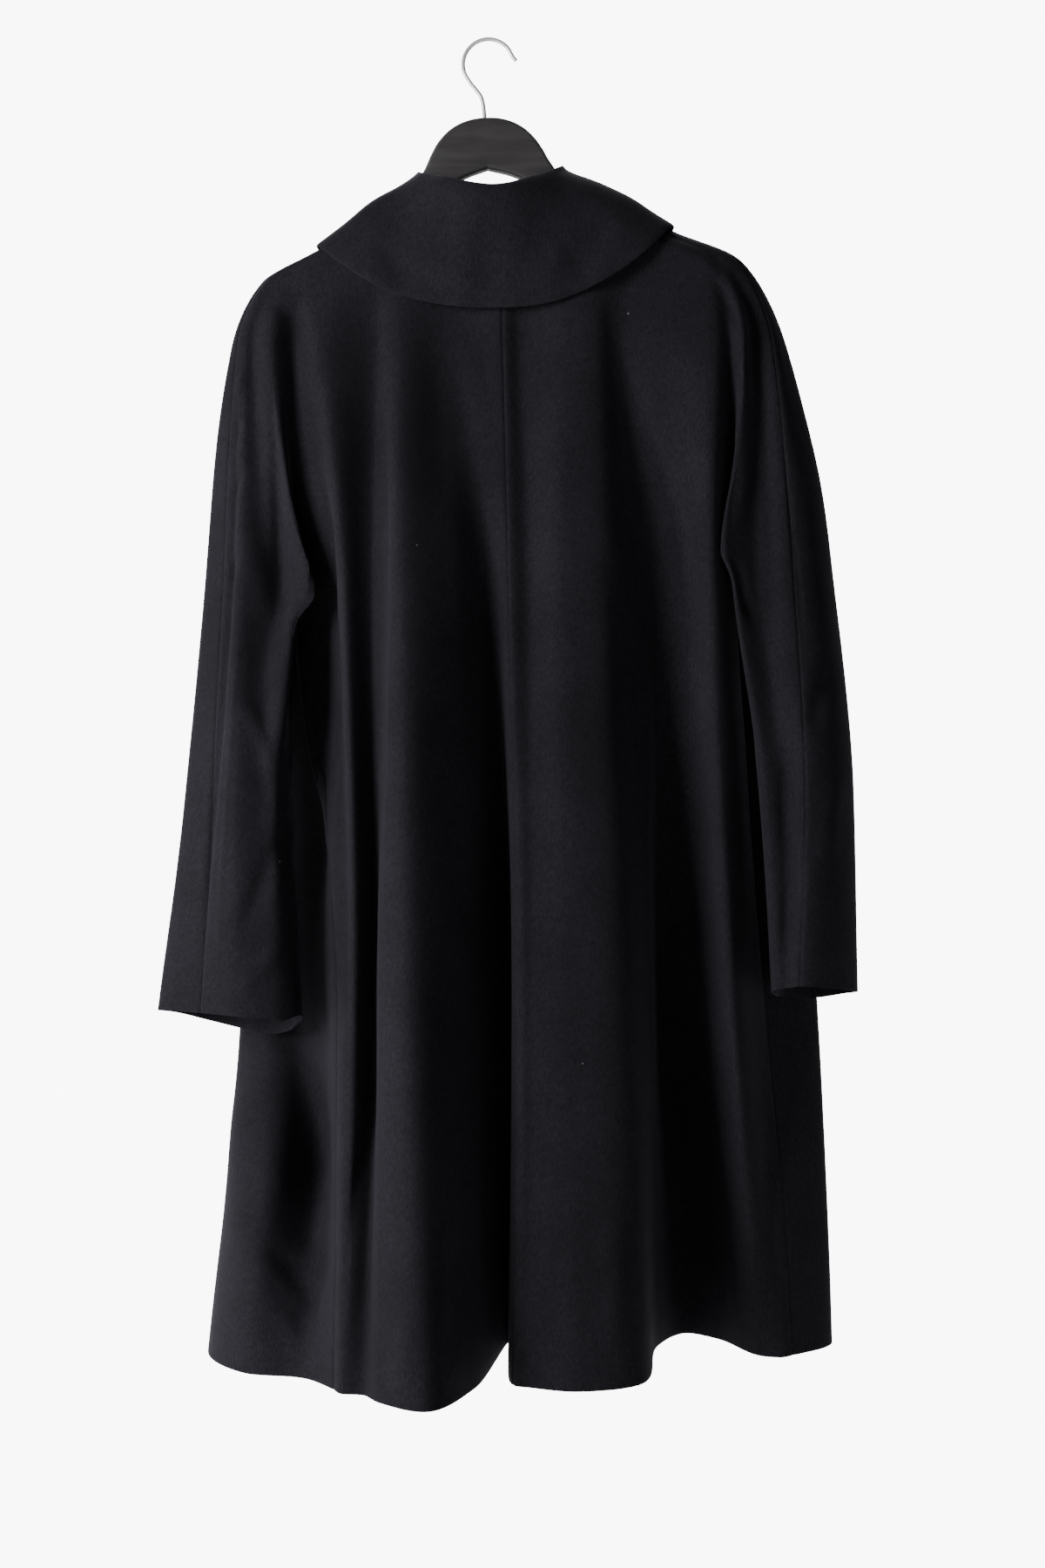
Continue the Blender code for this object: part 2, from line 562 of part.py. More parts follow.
def make_hanger(material, collection, cutters):
    """The wooden hanger with the bore for its hook."""
    half = HANGER_OVER + HANGER_UNDER
    outline = list(half) + [(-x, y) for x, y in reversed(half[1:-1])]
    curve = bpy.data.curves.new("hanger_outline", "CURVE")
    curve.dimensions = "2D"
    curve.fill_mode = "BOTH"
    curve.extrude = (0.5 * HANGER_THICKNESS - HANGER_EDGE_ROUND) * MM
    curve.bevel_depth = HANGER_EDGE_ROUND * MM
    curve.bevel_resolution = 1
    curve.offset = -HANGER_EDGE_ROUND * MM
    spline = curve.splines.new("POLY")
    spline.points.add(len(outline) - 1)
    for point, (x, y) in zip(spline.points, outline):
        point.co = (x * MM, y * MM, 0.0, 1.0)
    spline.use_cyclic_u = True
    drawn = bpy.data.objects.new("hanger_outline", curve)
    drawn.location = (HANGER_TOP[0] * MM, 0.0, HANGER_TOP[1] * MM)
    drawn.rotation_euler = (math.pi / 2.0, HANGER_TILT, 0.0)
    collection.objects.link(drawn)
    bpy.context.view_layer.update()
    evaluated = drawn.evaluated_get(bpy.context.evaluated_depsgraph_get())
    mesh = bpy.data.meshes.new_from_object(evaluated)
    welded = bmesh.new()
    welded.from_mesh(mesh)
    bmesh.ops.remove_doubles(welded, verts=welded.verts, dist=WELD)
    welded.to_mesh(mesh)
    welded.free()
    mesh.materials.clear()
    mesh.materials.append(material)
    hanger = bpy.data.objects.new("hanger", mesh)
    hanger.matrix_world = drawn.matrix_world
    bpy.data.objects.remove(drawn)
    collection.objects.link(hanger)
    bpy.ops.mesh.primitive_cylinder_add(
        vertices=16, radius=(WIRE_RADIUS + HOOK_BORE_CLEARANCE) * MM, depth=2.0 * HOOK_BORE_DEPTH * MM
    )
    cutter = bpy.context.object
    cutter.name = "hook_bore"
    cutter.location = hanger.location
    cutter.rotation_euler = (0.0, HANGER_TILT, 0.0)
    cutter.hide_render = True
    cutter.display_type = "WIRE"
    for linked in list(cutter.users_collection):
        linked.objects.unlink(cutter)
    cutters.objects.link(cutter)
    cut = hanger.modifiers.new("bore", "BOOLEAN")
    cut.operation = "DIFFERENCE"
    cut.object = cutter
    return hanger


def make_hook(material, collection):
    """The wire hook: an arc over the rail, a return bend and a stem into the hanger."""
    route = [HOOK_TIP]
    for step in np.linspace(*HOOK_ARC, HOOK_ARC_POINTS):
        turn = math.radians(step)
        route.append((
            HOOK_CENTRE[0] + HOOK_RADIUS * math.cos(turn),
            HOOK_CENTRE[1] + HOOK_RADIUS * math.sin(turn),
        ))
    stem_end = HOOK_BORE_CLEARANCE - HOOK_BORE_DEPTH
    route += [*HOOK_RETURN, tilted(0.0, HOOK_BEND_HEIGHT), tilted(0.0, stem_end)]
    guide = [np.array((x, 0.0, height)) for x, height in route]
    curve = bpy.data.curves.new("hook", "CURVE")
    curve.dimensions = "3D"
    curve.bevel_depth = WIRE_RADIUS * MM
    curve.bevel_resolution = 2
    curve.use_fill_caps = True
    spline = curve.splines.new("POLY")
    last = len(guide) - 1
    places = np.linspace(0.0, last, HOOK_STEPS_BETWEEN * last + 1)
    spline.points.add(len(places) - 1)
    for point, place in zip(spline.points, places):
        point.co = (*(along(guide, place, closed=False) * MM), 1.0)
    curve.materials.append(material)
    hook = bpy.data.objects.new("hook", curve)
    collection.objects.link(hook)
    return hook


def make_material(name, colour, roughness, metallic):
    """A plain material."""
    material = bpy.data.materials.new(name)
    material.use_nodes = True
    shader = material.node_tree.nodes["Principled BSDF"]
    shader.inputs["Base Color"].default_value = (*colour, 1.0)
    shader.inputs["Roughness"].default_value = roughness
    shader.inputs["Metallic"].default_value = metallic
    return material


def make_coat(collection):
    """All cloth pieces, each side from its own table of folds."""
    cloth = make_material("wool_cloth", (0.012, 0.013, 0.020), 0.9, 0.0)
    left = CoatHalf(
        "left", LEFT_BACK, LEFT_SIDE, LEFT_FRONT, LEFT_SLEEVE, LEFT_INNER,
        RIGHT_BACK[0], RIGHT_FRONT[-1], over_seam=4,
    )
    right = CoatHalf(
        "right", (LEFT_BACK[0], *RIGHT_BACK), RIGHT_SIDE, (*RIGHT_FRONT, LEFT_FRONT[-1]),
        RIGHT_SLEEVE, RIGHT_INNER, LEFT_BACK[1], LEFT_FRONT[-2], over_seam=3,
    )
    for half in (left, right):
        half.back(cloth, collection)
        half.front(cloth, collection)
        half.gusset(cloth, collection)
    make_collar(cloth, collection)


def make_model():
    """The coat, the hanger and the hook."""
    for old in list(bpy.data.objects):
        bpy.data.objects.remove(old)
    collection = bpy.data.collections.new("car_coat_on_a_hanger")
    cutters = bpy.data.collections.new("cutters")
    for group in (collection, cutters):
        bpy.context.scene.collection.children.link(group)
    make_coat(collection)
    wood = make_material("black_wood", (0.010, 0.010, 0.011), 0.45, 0.0)
    steel = make_material("bright_steel", (0.75, 0.75, 0.75), 0.18, 1.0)
    make_hanger(wood, collection, cutters)
    make_hook(steel, collection)


make_model()
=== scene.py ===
"""Looks of the swing-cut car coat on its wooden hanger.

The frame is the part's own: the origin at the inside top of the hook, +Z up, the coat's back
to +Y and the wearer's left to +X. Tables and driving sizes hold millimetres, the meshes, the
materials' bumps and the studio metres.
"""
import math

import bmesh
import bpy
import numpy as np
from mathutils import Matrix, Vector


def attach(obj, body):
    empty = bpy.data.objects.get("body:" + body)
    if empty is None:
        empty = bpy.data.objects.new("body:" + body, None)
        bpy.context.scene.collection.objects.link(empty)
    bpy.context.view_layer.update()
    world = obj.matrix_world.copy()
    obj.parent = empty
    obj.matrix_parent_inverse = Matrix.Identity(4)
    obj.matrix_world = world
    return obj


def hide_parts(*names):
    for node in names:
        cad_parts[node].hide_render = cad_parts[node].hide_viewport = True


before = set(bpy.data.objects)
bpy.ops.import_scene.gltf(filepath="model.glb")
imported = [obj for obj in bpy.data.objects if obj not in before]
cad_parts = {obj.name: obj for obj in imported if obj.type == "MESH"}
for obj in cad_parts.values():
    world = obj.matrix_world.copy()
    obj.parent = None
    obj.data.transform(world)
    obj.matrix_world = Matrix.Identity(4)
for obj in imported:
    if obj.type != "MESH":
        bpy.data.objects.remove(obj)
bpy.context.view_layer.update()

MM = 0.001

# ---------------- driving sizes, in mm
CLOTH_WALL = 1.8
COLLAR_WALL = 2.4
# The rounding of every rim, as a share of its wall
RIM_SHARE = 0.42
RIM_SEGMENTS = 3
RIM_ANGLE = math.radians(60.0)
# The collar thins to this share of its wall over the last part of its fall
EDGE_SHARE = 0.35
COLLAR_EDGE_RUN = 0.2
GUSSET_LENGTH = 70.0
UNDERARM_RADIUS = 5.0
UNDERARM_FADE = 150.0
# The folds that start under the arm leave it straight down, as from this far above
UNDERARM_STRAIGHT = 40.0

NECK_HALF_WIDTH = 68.0
NECK_BACK_DEPTH = 36.0
NECK_FRONT_DEPTH = 33.0
NECK_SIDE_HEIGHT_LEFT = -131.5
NECK_SIDE_HEIGHT_RIGHT = -122.5
NECK_BACK_DROP = 36.0
NECK_FRONT_DROP = 60.0
NECK_DROP_POWER = 1.5
# The shoulder runs straight to this part of its length and sags a little there
SHOULDER_STRAIGHT = 0.65
SHOULDER_SAG = 2.5

# The collar stands up from the neck seam, nearly to its roll, and then falls outward
NECK_SEAM_LIFT = 1.8
STAND_SHARE = 0.72
ROLL_OUT = 4.0
ROLL_DOWN = 3.5

HANGER_TILT = math.radians(3.4)
HANGER_TOP = (3.5, -69.4)
HANGER_THICKNESS = 12.0
HANGER_EDGE_ROUND = 3.5
HANGER_SHARP_ANGLE = math.radians(35.0)
WIRE_RADIUS = 1.8
HOOK_RADIUS = 22.8
HOOK_STEM_DEPTH = 13.0
HOOK_BEND_HEIGHT = 2.0

# Each level: how far down the cloth it lies, and its height on the left and the right side
LEVELS = {
    "shoulder": (85.0, -216.0, -196.6),
    "yoke": (143.0, -274.6, -270.0),
    "underarm": (360.0, -493.0, -466.0),
    "sleeve": (533.0, -665.0, -665.0),
    "wrist": (735.0, -867.0, -867.0),
    "skirt": (870.0, -1002.0, -1002.0),
    "hem": (1035.0, -1168.0, -1168.0),
}
LEFT_SIDE_X = 174.0
RIGHT_SIDE_X = -221.0
UNDERARM_RUN = LEVELS["underarm"][0]

# ---------------- fineness of the cloth
ROW_STEP = 4.0
STEPS_PER_FOLD = 13
STEPS_TO_GUSSET = 8
# Rows close together where the cloth rounds over under the arm, and the gusset's next one
UNDERARM_ROWS = (0.0, 0.3, 0.9, 1.8, 3.0, 4.2, 5.2, 6.5, 8.5, 11.0)
GUSSET_FIRST_ROW = 15.0
# Distances from a seam of the columns beside it
SEAM_COLUMNS = (0.08, 0.7, 1.5, 2.6, 4.0)
GUSSET_COLUMNS = 12
COLLAR_STEPS_DOWN = 12
COLLAR_STEPS_ALONG = 13
# The outline's step and the hook's, in the spacing of their points
OUTLINE_STEP = 0.2
HOOK_ARC_POINTS = 9
HOOK_STEPS = 8
WELD_DISTANCE = 1e-3
SHORT_STEP = 0.05
PLACE_SLACK = 1e-9
LEAST_CHORD = 1e-4
TINY = 1e-9

# ---------------- the finer shaping
# At a seam the cloth turns inward by this depth, over this distance
SEAM_DEPTH = 0.9
SEAM_REACH = 1.2
# A shallower dip lies beside it, puckered in waves that wander along the seam
DIP_DEPTH = 0.25
DIP_REACH = 4.0 * SEAM_REACH
PUCKER_SHARE = 0.35
PUCKER_PITCH = 0.55
PUCKER_WANDER = 3.0
PUCKER_DRIFT = 0.043
# Soft waves: how many, their lengths and their height
CLOTH_WAVES = (18, (45.0, 150.0), 0.35)
COLLAR_WAVES = (16, (35.0, 110.0), 0.7)
CLOTH_SEED = 11
COLLAR_SEED = 5
WAVE_TURN = 0.5
WAVE_DEPTH = 0.6
WAVE_STRETCH = 0.45
# A crease reaches this many widths, fades over this share of its length at each end, and
# comes in with how far the cloth faces its side
CREASE_REACH = 3.0
CREASE_FADE = 0.3
CREASE_FACING = 2.5

# ---------------- fold lines of the body
# Each row is a fold's crest, flank or valley, from the centre back round to the centre front:
# name, angle at the neck, then x, y at the shoulder, yoke, underarm, wrist and hem levels
LEFT_BACK = (
    ("centre_back", 0, -11, 30, -13, 27, -18, 54, -25, 98, -23, 118),
    ("valley_2", 8, 12, 27, 16, 21, -2, 38, -21, 28, -18, -12),
    ("wall_2", 17, 35, 26, 43, 22, 30, 64, 15, 92, 11, 130),
    ("ridge_2", 29, 64, 25, 77, 31, 70, 86, 61, 140, 46, 190),
    ("edge_2", 34, 76, 24, 88, 28, 82, 80, 88, 124, 86, 166),
    ("valley_1", 41, 92, 22, 99, 19, 100, 48, 95, 90, 100, 146),
    ("ridge_1", 53, 126, 20, 142, 29, 124, 62, 111, 108, 114, 143),
    ("foot_1", 60, 145, 18, 159, 23, 138, 33, 117, 104, 118, 142),
    ("notch_back", 67, 162, 16, 173, 16, 174, 15, 121, 99, 121, 139),
)
LEFT_FRONT = (
    ("notch_front", 114, 165, -14, 179, -20, 189, -20, 211, -58, 242, -60),
    ("front_ridge_1", 126, 135, -16, 144, -29, 142, -48, 177, -80, 194, -120),
    ("front_valley_1", 139, 102, -18, 104, -24, 109, -38, 130, -52, 136, -72),
    ("front_ridge_2", 154, 64, -22, 65, -32, 67, -64, 85, -98, 91, -136),
    ("front_flat", 167, 33, -26, 33, -29, 34, -56, 38, -80, 39, -100),
    ("centre_front", 180, 0, -28, 1, -31, 1, -60, 1, -84, 2, -106),
)
RIGHT_BACK = (
    ("valley_3", -8, -28, 28, -29, 22, -37, 50, -39, 104, -35, 124),
    ("ridge_3", -22, -61, 28, -70, 31, -62, 66, -71, 108, -77, 136),
    ("crest_3", -32, -86, 26, -95, 29, -99, 64, -118, 96, -129, 116),
    ("wall_3", -39, -104, 23, -111, 20, -126, 38, -143, 38, -151, 0),
    ("valley_4", -45, -119, 19, -120, 18, -147, 24, -154, -10, -180, -42),
    ("rise_4", -52, -142, 18, -146, 23, -170, 28, -186, 6, -209, -22),
    ("ridge_4", -62, -185, 17, -200, 28, -195, 48, -213, 56, -239, 30),
    ("notch_back", -69, -194, 15, -214, 21, -220, 15, -240, 20, -258, 36),
)
RIGHT_FRONT = (
    ("notch_front", -114, -197, -14, -219, -18, -235, -19, -248, -64, -262, -84),
    ("front_ridge_4", -127, -164, -16, -169, -31, -179, -54, -192, -90, -197, -128),
    ("front_valley_3", -142, -109, -18, -106, -25, -114, -42, -129, -56, -136, -72),
    ("front_ridge_3", -156, -66, -22, -66, -33, -71, -66, -80, -104, -85, -140),
    ("front_flat", -168, -30, -26, -30, -29, -30, -54, -30, -76, -32, -95),
)
# The body's side below the arm, from the back notch to the front notch:
# name, then x, y at the underarm, wrist, skirt and hem levels
LEFT_SIDE = (
    ("side_seam", 176, 0, 127, 86, 127, 98, 126, 130),
    ("valley_0", 179, -7, 168, 6, 149, 24, 156, 98),
    ("ridge_00", 181, -10, 198, 0, 192, 54, 206, 84),
    ("side_edge", 183, -13, 225, -28, 229, 14, 245, 30),
)
RIGHT_SIDE = (
    ("side_seam", -223, 1, -247, 8, -258, 18, -268, 30),
    ("side_edge", -227, -6, -298, -28, -303, -16, -307, -6),
    ("side_front", -231, -13, -286, -56, -295, -56, -301, -58),
)

# ---------------- fold lines of the sleeves
# From the back notch over the outer arm to the front notch: name, angle at the neck,
# then x, y at the shoulder, yoke, underarm and sleeve levels, and x, y, height at the cuff
LEFT_SLEEVE = (
    ("notch_back", 67, 162, 16, 173, 16, 174, 15, 174, 56, 161, 80, -863),
    ("ridge_0", 74, 179, 12, 191, 27, 168, 46, 181, 74, 175, 93, -866),
    ("valley_s", 79, 188, 10, 208, 15, 195, 30, 193, 76, 191, 97, -864),
    ("ridge_s", 84, 196, 8, 216, 14, 217, 36, 216, 80, 215, 96, -862),
    ("over_seam", 89, 200, 4, 224, 8, 234, 24, 238, 62, 245, 80, -861),
    ("outer_edge", 94, 202, -1, 230, -3, 254, 0, 264, 35, 286, 50, -862),
    ("front_outer", 99, 200, -6, 227, -14, 245, -26, 255, 8, 274, 24, -867),
    ("front_mid", 106, 188, -10, 203, -24, 204, -36, 219, 2, 231, 14, -879),
    ("notch_front", 114, 165, -14, 179, -20, 189, -20, 192, 14, 191, 28, -885),
)
RIGHT_SLEEVE = (
    ("notch_back", -69, -194, 15, -214, 21, -220, 15, -236, 52, -248, 62, -843),
    ("ridge_5", -74, -202, 12, -225, 30, -214, 45, -239, 66, -249, 80, -841),
    ("valley_6", -79, -210, 10, -235, 16, -236, 34, -255, 66, -257, 84, -839),
    ("over_seam", -86, -221, 5, -251, 18, -266, 43, -272, 82, -266, 93, -837),
    ("back_outer", -90, -224, 2, -260, 8, -287, 35, -298, 71, -296, 80, -840),
    ("outer_edge", -94, -225, -1, -265, -3, -306, 0, -320, 34, -322, 45, -846),
    ("front_outer", -99, -222, -7, -262, -14, -298, -28, -314, 8, -317, 14, -851),
    ("front_mid", -106, -207, -11, -242, -24, -261, -36, -284, 2, -291, 4, -856),
    ("notch_front", -114, -197, -14, -220, -18, -235, -19, -259, 12, -265, 14, -854),
)
# The sleeve's inner side below the underarm, from the front notch to the back notch:
# name, then x, y at the underarm and sleeve levels, and x, y, height at the cuff
LEFT_INNER = (
    ("inner_front", 183, -13, 182, 26, 174, 42, -880),
    ("inner_mid", 179, -7, 177, 34, 167, 52, -874),
    ("under_seam", 176, 0, 174, 44, 160, 66, -868),
)
RIGHT_INNER = (
    ("inner_front", -231, -13, -250, 22, -255, 28, -852),
    ("inner_mid", -227, -6, -244, 31, -251, 38, -850),
    ("under_seam", -223, 1, -239, 40, -247, 50, -847),
)

# ---------------- the collar
# name, angle at the neck, x, y, height of the roll, x, y, height of the outer edge, bulge
COLLAR = (
    ("front_end", 177, 3, -40, -180, 5, -38, -243, 2),
    ("front_corner", 166, 15, -38, -168, 32, -39, -262, 2),
    ("front", 150, 30, -34, -153, 63, -38, -262, 2),
    ("front_side", 132, 45, -26, -138, 98, -33, -243, 3),
    ("shoulder_front", 114, 56, -17, -127, 127, -26, -218, 3),
    ("ridge_front", 100, 62, -8, -121, 149, -14, -190, 3),
    ("ridge", 90, 63, 0, -119, 154, 0, -184, 2),
    ("ridge_back", 82, 61, 8, -121, 149, 12, -188, 3),
    ("shoulder_back", 72, 57, 15, -124, 127, 24, -207, 3),
    ("back_side", 60, 48, 23, -128, 100, 31, -225, 4),
    ("back", 42, 34, 33, -133, 61, 35, -240, 4),
    ("back_inner", 22, 16, 40, -139, 25, 36, -246, 4),
    ("centre_back", 0, -1, 42, -141, -6, 36, -247, 4),
    ("back_inner", -22, -17, 40, -139, -30, 36, -246, 4),
    ("back", -42, -34, 33, -133, -62, 35, -240, 4),
    ("back_side", -60, -50, 23, -126, -107, 32, -219, 5),
    ("shoulder_back", -72, -59, 15, -120, -141, 28, -193, 6),
    ("ridge_back", -82, -64, 8, -116, -161, 13, -171, 4),
    ("ridge", -90, -66, 0, -113, -166, -1, -167, 4),
    ("ridge_front", -100, -65, -8, -115, -161, -14, -175, 4),
    ("shoulder_front", -114, -58, -17, -122, -136, -27, -206, 3),
    ("front_side", -132, -46, -26, -136, -102, -34, -238, 3),
    ("front", -150, -31, -34, -152, -64, -38, -261, 2),
    ("front_corner", -166, -15, -38, -168, -32, -39, -262, 2),
    ("front_end", -177, -3, -40, -180, -5, -38, -243, 2),
)

# Half of the hanger's outline, over its shoulder and back under it to the middle
HANGER_OVER = (
    (0, 0), (12, -0.9), (24, -4.6), (34, -10.6), (43, -19.6), (50, -30.5), (55, -40.5), (60.5, -50),
    (67, -64), (78, -70.5), (188, -129.5), (194, -134), (197, -141), (195, -148), (189, -151.5),
)
HANGER_UNDER = (
    (130, -120), (70, -87), (48, -70), (33, -58.5), (18, -51.5), (1, -46.4), (0, -46),
)
# The wire from its tip to the stem, seen in the coat's own frame
HOOK_TIP = (-24.6, -17.4)
HOOK_CENTRE = (0.0, -21.0)
HOOK_ARC = (162, -42)
HOOK_RETURN = ((11.6, -43.0), (7.3, -48.8), (5.1, -55.5))

# ---------------- the creases
# Each row: width, and depth, which is below zero for a ridge; then x, height along its line
BACK_CREASES = (
    # the left half's fold beside the sleeve and its valley, and the widest fold's edge
    (5, 2.4, 153, -353, 138, -447, 131, -537, 130, -612, 136, -683, 138, -730, 126, -810,
     117, -872),
    (8, -1.6, 103, -318, 102, -439, 100, -559, 100, -665, 102, -786, 104, -891),
    (4.5, 3.2, 92, -271, 88, -378, 87, -472, 89, -565, 90, -659, 93, -753, 96, -889),
    (6, 2.2, 96, -848, 98, -943, 110, -1009, 115, -1060, 119, -1126),
    # the left sleeve's lapping fold: its line, its crest, the face under its point
    (4.5, 2.6, 192, -271, 188, -372, 184, -459, 178, -525, 174, -573),
    (6, -2.6, 181, -260, 176, -327, 166, -398, 157, -460, 154, -499),
    (12, -3.2, 220, -409, 206, -469, 190, -529, 179, -590, 173, -665),
    (4.5, 3, 155, -505, 164, -522, 173, -542),
    # the left sleeve's soft elbow folds, and the pressed seam inside it
    (8, -3.4, 221, -590, 204, -607, 188, -640, 184, -669),
    (9, 3, 170, -687, 183, -728, 199, -769, 216, -802),
    (8, -2.4, 173, -795, 192, -824, 216, -843),
    (2.4, -0.9, 215, -516, 219, -575, 221, -650, 225, -725, 228, -792, 230, -852),
    # the deep trough beside the left sleeve
    (11, 12, 152, -435, 148, -496, 147, -573, 148, -650, 153, -711, 151, -772, 143, -826),
    # the light edge at the centre back
    (7, -2, -24, -635, -29, -740, -30, -891, -30, -1042, -29, -1140),
    # the steps beside the overarm seams, and the puckers on the left one
    (3.4, 3, 223, -282, 223, -389, 225, -467, 230, -611, 239, -731, 247, -868),
    (2.6, 1, -250, -284, -261, -383, -271, -490, -275, -589),
    (3.4, 1.7, 217, -341, 223, -358, 229, -375),
    (3.2, 1.8, 214, -386, 222, -402, 228, -413),
    (3.2, 1.5, 217, -458, 224, -476, 227, -492),
    (3.2, -1.4, 224, -324, 220, -312, 216, -297),
    # the left shoulder's soft dents
    (8, 2.4, 201, -237, 184, -242, 166, -258, 161, -287),
    (9, -2.2, 160, -227, 153, -280, 150, -334),
    # the centre back's fold edge, and soft ridges of the middle
    (5, 2.6, -7, -509, -17, -613, -22, -687, -23, -798, -23, -924, -22, -1035, -21, -1124),
    (16, -2.4, -61, -273, -58, -379, -61, -514, -68, -665, -72, -816),
    (9, -3.2, -99, -407, -115, -475, -137, -574, -141, -688, -143, -801),
    (10, -2.4, 23, -256, 11, -316, 0, -407, -5, -468),
    # the right half's long slanting fold and the side's crest
    (7, 3, -109, -261, -143, -351, -166, -422, -183, -526, -190, -635, -196, -754, -204, -896),
    (8, 1.8, -206, -855, -212, -938, -218, -1029, -222, -1120),
    (8, -2.2, -193, -272, -194, -378, -198, -468, -210, -589, -221, -710, -232, -831),
    # the right sleeve's lapping fold, and from its point back to the sleeve
    (4.5, 1.8, -226, -264, -223, -323, -217, -391, -211, -437, -208, -458),
    (6, -2, -231, -285, -230, -346, -225, -406, -219, -444),
    (4.5, 3.2, -210, -463, -219, -479, -223, -502, -234, -530),
    # the right sleeve's long folds
    (5.5, 1.9, -234, -247, -241, -308, -246, -376, -249, -452, -250, -559),
    (8, -2, -253, -409, -256, -499, -259, -590, -258, -665),
    (6.5, 5, -262, -590, -259, -683, -261, -743, -256, -835),
    # its elbow's slanting folds
    (9, 3, -302, -559, -287, -590, -278, -627),
    (10, -2.6, -303, -650, -293, -695, -287, -748),
    # the small folds at the right shoulder
    (4, 1.8, -207, -224, -214, -241, -221, -263),
    (6, -1.8, -186, -200, -203, -214, -218, -223),
    # the slanting creases over the left hem
    (7, 3.4, 201, -1055, 174, -1079, 152, -1107, 139, -1136),
    (7, 3, 123, -1048, 142, -1085, 154, -1116, 163, -1151),
    (6, -2.4, 191, -1107, 170, -1129, 157, -1157),
    (14, -3.4, 215, -921, 218, -982, 217, -1042, 209, -1095),
    (11, 4.6, 150, -855, 146, -915, 147, -976, 153, -1044),
    (10, -2.6, 183, -885, 180, -953, 185, -1044),
    # the hem's small waves
    (9, -2.2, 63, -1087, 65, -1123, 68, -1165),
    (9, 2.2, 28, -1029, 25, -1087, 28, -1145),
    (10, 2.4, -60, -1046, -57, -1104, -60, -1156),
    (11, -2.6, -104, -1019, -108, -1077, -107, -1151),
    (9, 2.2, -179, -1055, -186, -1102, -191, -1149),
    (9, -2.6, -266, -973, -263, -1051, -268, -1128),
)
FRONT_CREASES = (
    # the troughs beside the folds of both fronts
    (8, 2.2, 104, -300, 109, -470, 118, -640, 128, -860, 134, -1080),
    (10, -1.8, 66, -290, 70, -430, 78, -620, 84, -830, 88, -1050),
    (9, 1.4, 34, -320, 36, -520, 40, -760, 41, -1000),
    (9, -2.0, 150, -330, 146, -480, 160, -660, 178, -900, 190, -1100),
    (8, 1.6, 192, -700, 204, -850, 214, -1000, 226, -1140),
    (8, 2.4, -106, -300, -113, -470, -121, -650, -130, -880, -135, -1090),
    (10, -1.7, -66, -310, -70, -500, -76, -720, -82, -1000),
    (8, 1.3, -31, -330, -31, -540, -30, -760, -32, -1040),
    (10, -2.0, -170, -330, -180, -500, -188, -700, -195, -1040),
    (8, 1.5, -228, -620, -240, -760, -250, -900, -258, -1100),
    # the sleeves' folds on that side
    (7, 1.8, 196, -300, 206, -420, 214, -560, 216, -700),
    (8, -1.4, 238, -420, 246, -560, 256, -700, 268, -820),
    (8, 1.4, 246, -600, 228, -640, 208, -668),
    (8, 1.2, 262, -730, 240, -762, 214, -790),
    (7, 1.8, -228, -310, -246, -430, -262, -570, -276, -700),
    (8, -1.4, -282, -420, -298, -560, -308, -700, -312, -800),
    (8, 1.3, -300, -600, -284, -645, -266, -668),
    (8, 1.2, -306, -720, -290, -752, -270, -776),
    # the front hem's small waves
    (9, 1.0, 60, -1060, 64, -1110, 66, -1160),
    (9, 1.1, -58, -1050, -60, -1110, -60, -1160),
    (8, -0.9, 110, -1040, 106, -1100, 104, -1160),
    (9, 1.0, -160, -1030, -164, -1090, -166, -1160),
)
COLLAR_BACK_CREASES = (
    (9, 1.8, 96, -196, 72, -210, 52, -226, 36, -240),
    (10, -2, 60, -160, 78, -178, 92, -198, 104, -214),
    (10, 2, 30, -150, 38, -180, 34, -214, 22, -238),
    (11, -2, -2, -150, -14, -176, -20, -206, -16, -240),
    (9, 1.8, -44, -140, -36, -168, -40, -202, -54, -236),
    (9, -2.2, -70, -134, -86, -156, -110, -180, -128, -188),
    (8, 1.8, -60, -176, -84, -196, -104, -214),
    (8, 1.6, -96, -142, -112, -160, -138, -172),
    (7, 1.6, 110, -170, 122, -184, 132, -196),
)
COLLAR_FRONT_CREASES = (
    (9, 1.8, 60, -200, 40, -216, 16, -226, -10, -226),
    (9, 1.8, -70, -190, -50, -212, -24, -224),
    (10, -2, 100, -180, 84, -206, 64, -228),
    (10, -2, -112, -168, -92, -198, -70, -226),
)

# Each piece's cut in metres: the flat rectangle that it comes from, and its own area there
CUTS = {
    "back_left": ((0.62, 1.08), 0.36),
    "back_right": ((0.64, 1.08), 0.36),
    "front_left": ((0.66, 1.10), 0.45),
    "front_right": ((0.68, 1.10), 0.47),
    "gusset_left": ((0.05, 0.14), 0.0034),
    "gusset_right": ((0.05, 0.14), 0.0034),
    "collar": ((0.62, 0.24), 0.072),
}

# Each pull: its middle; its reach along x, along y, up and down; how far it moves the cloth
PULLS = (
    # the left sleeve's fold comes out to a point that laps the back
    ((168, 46, -501), (13, 12, 58, 15), (-15, 3, 0)),
    # and the trough beside it
    ((187, 40, -470), (10, 16, 90, 70), (-2, -15, 0)),
    # the fold beside it, over toward the centre
    ((141, 29, -500), (13, 14, 90, 110), (-8, 2, 0)),
    # the right sleeve's point
    ((-214, 42, -462), (12, 12, 60, 16), (9, 3, 0)),
)

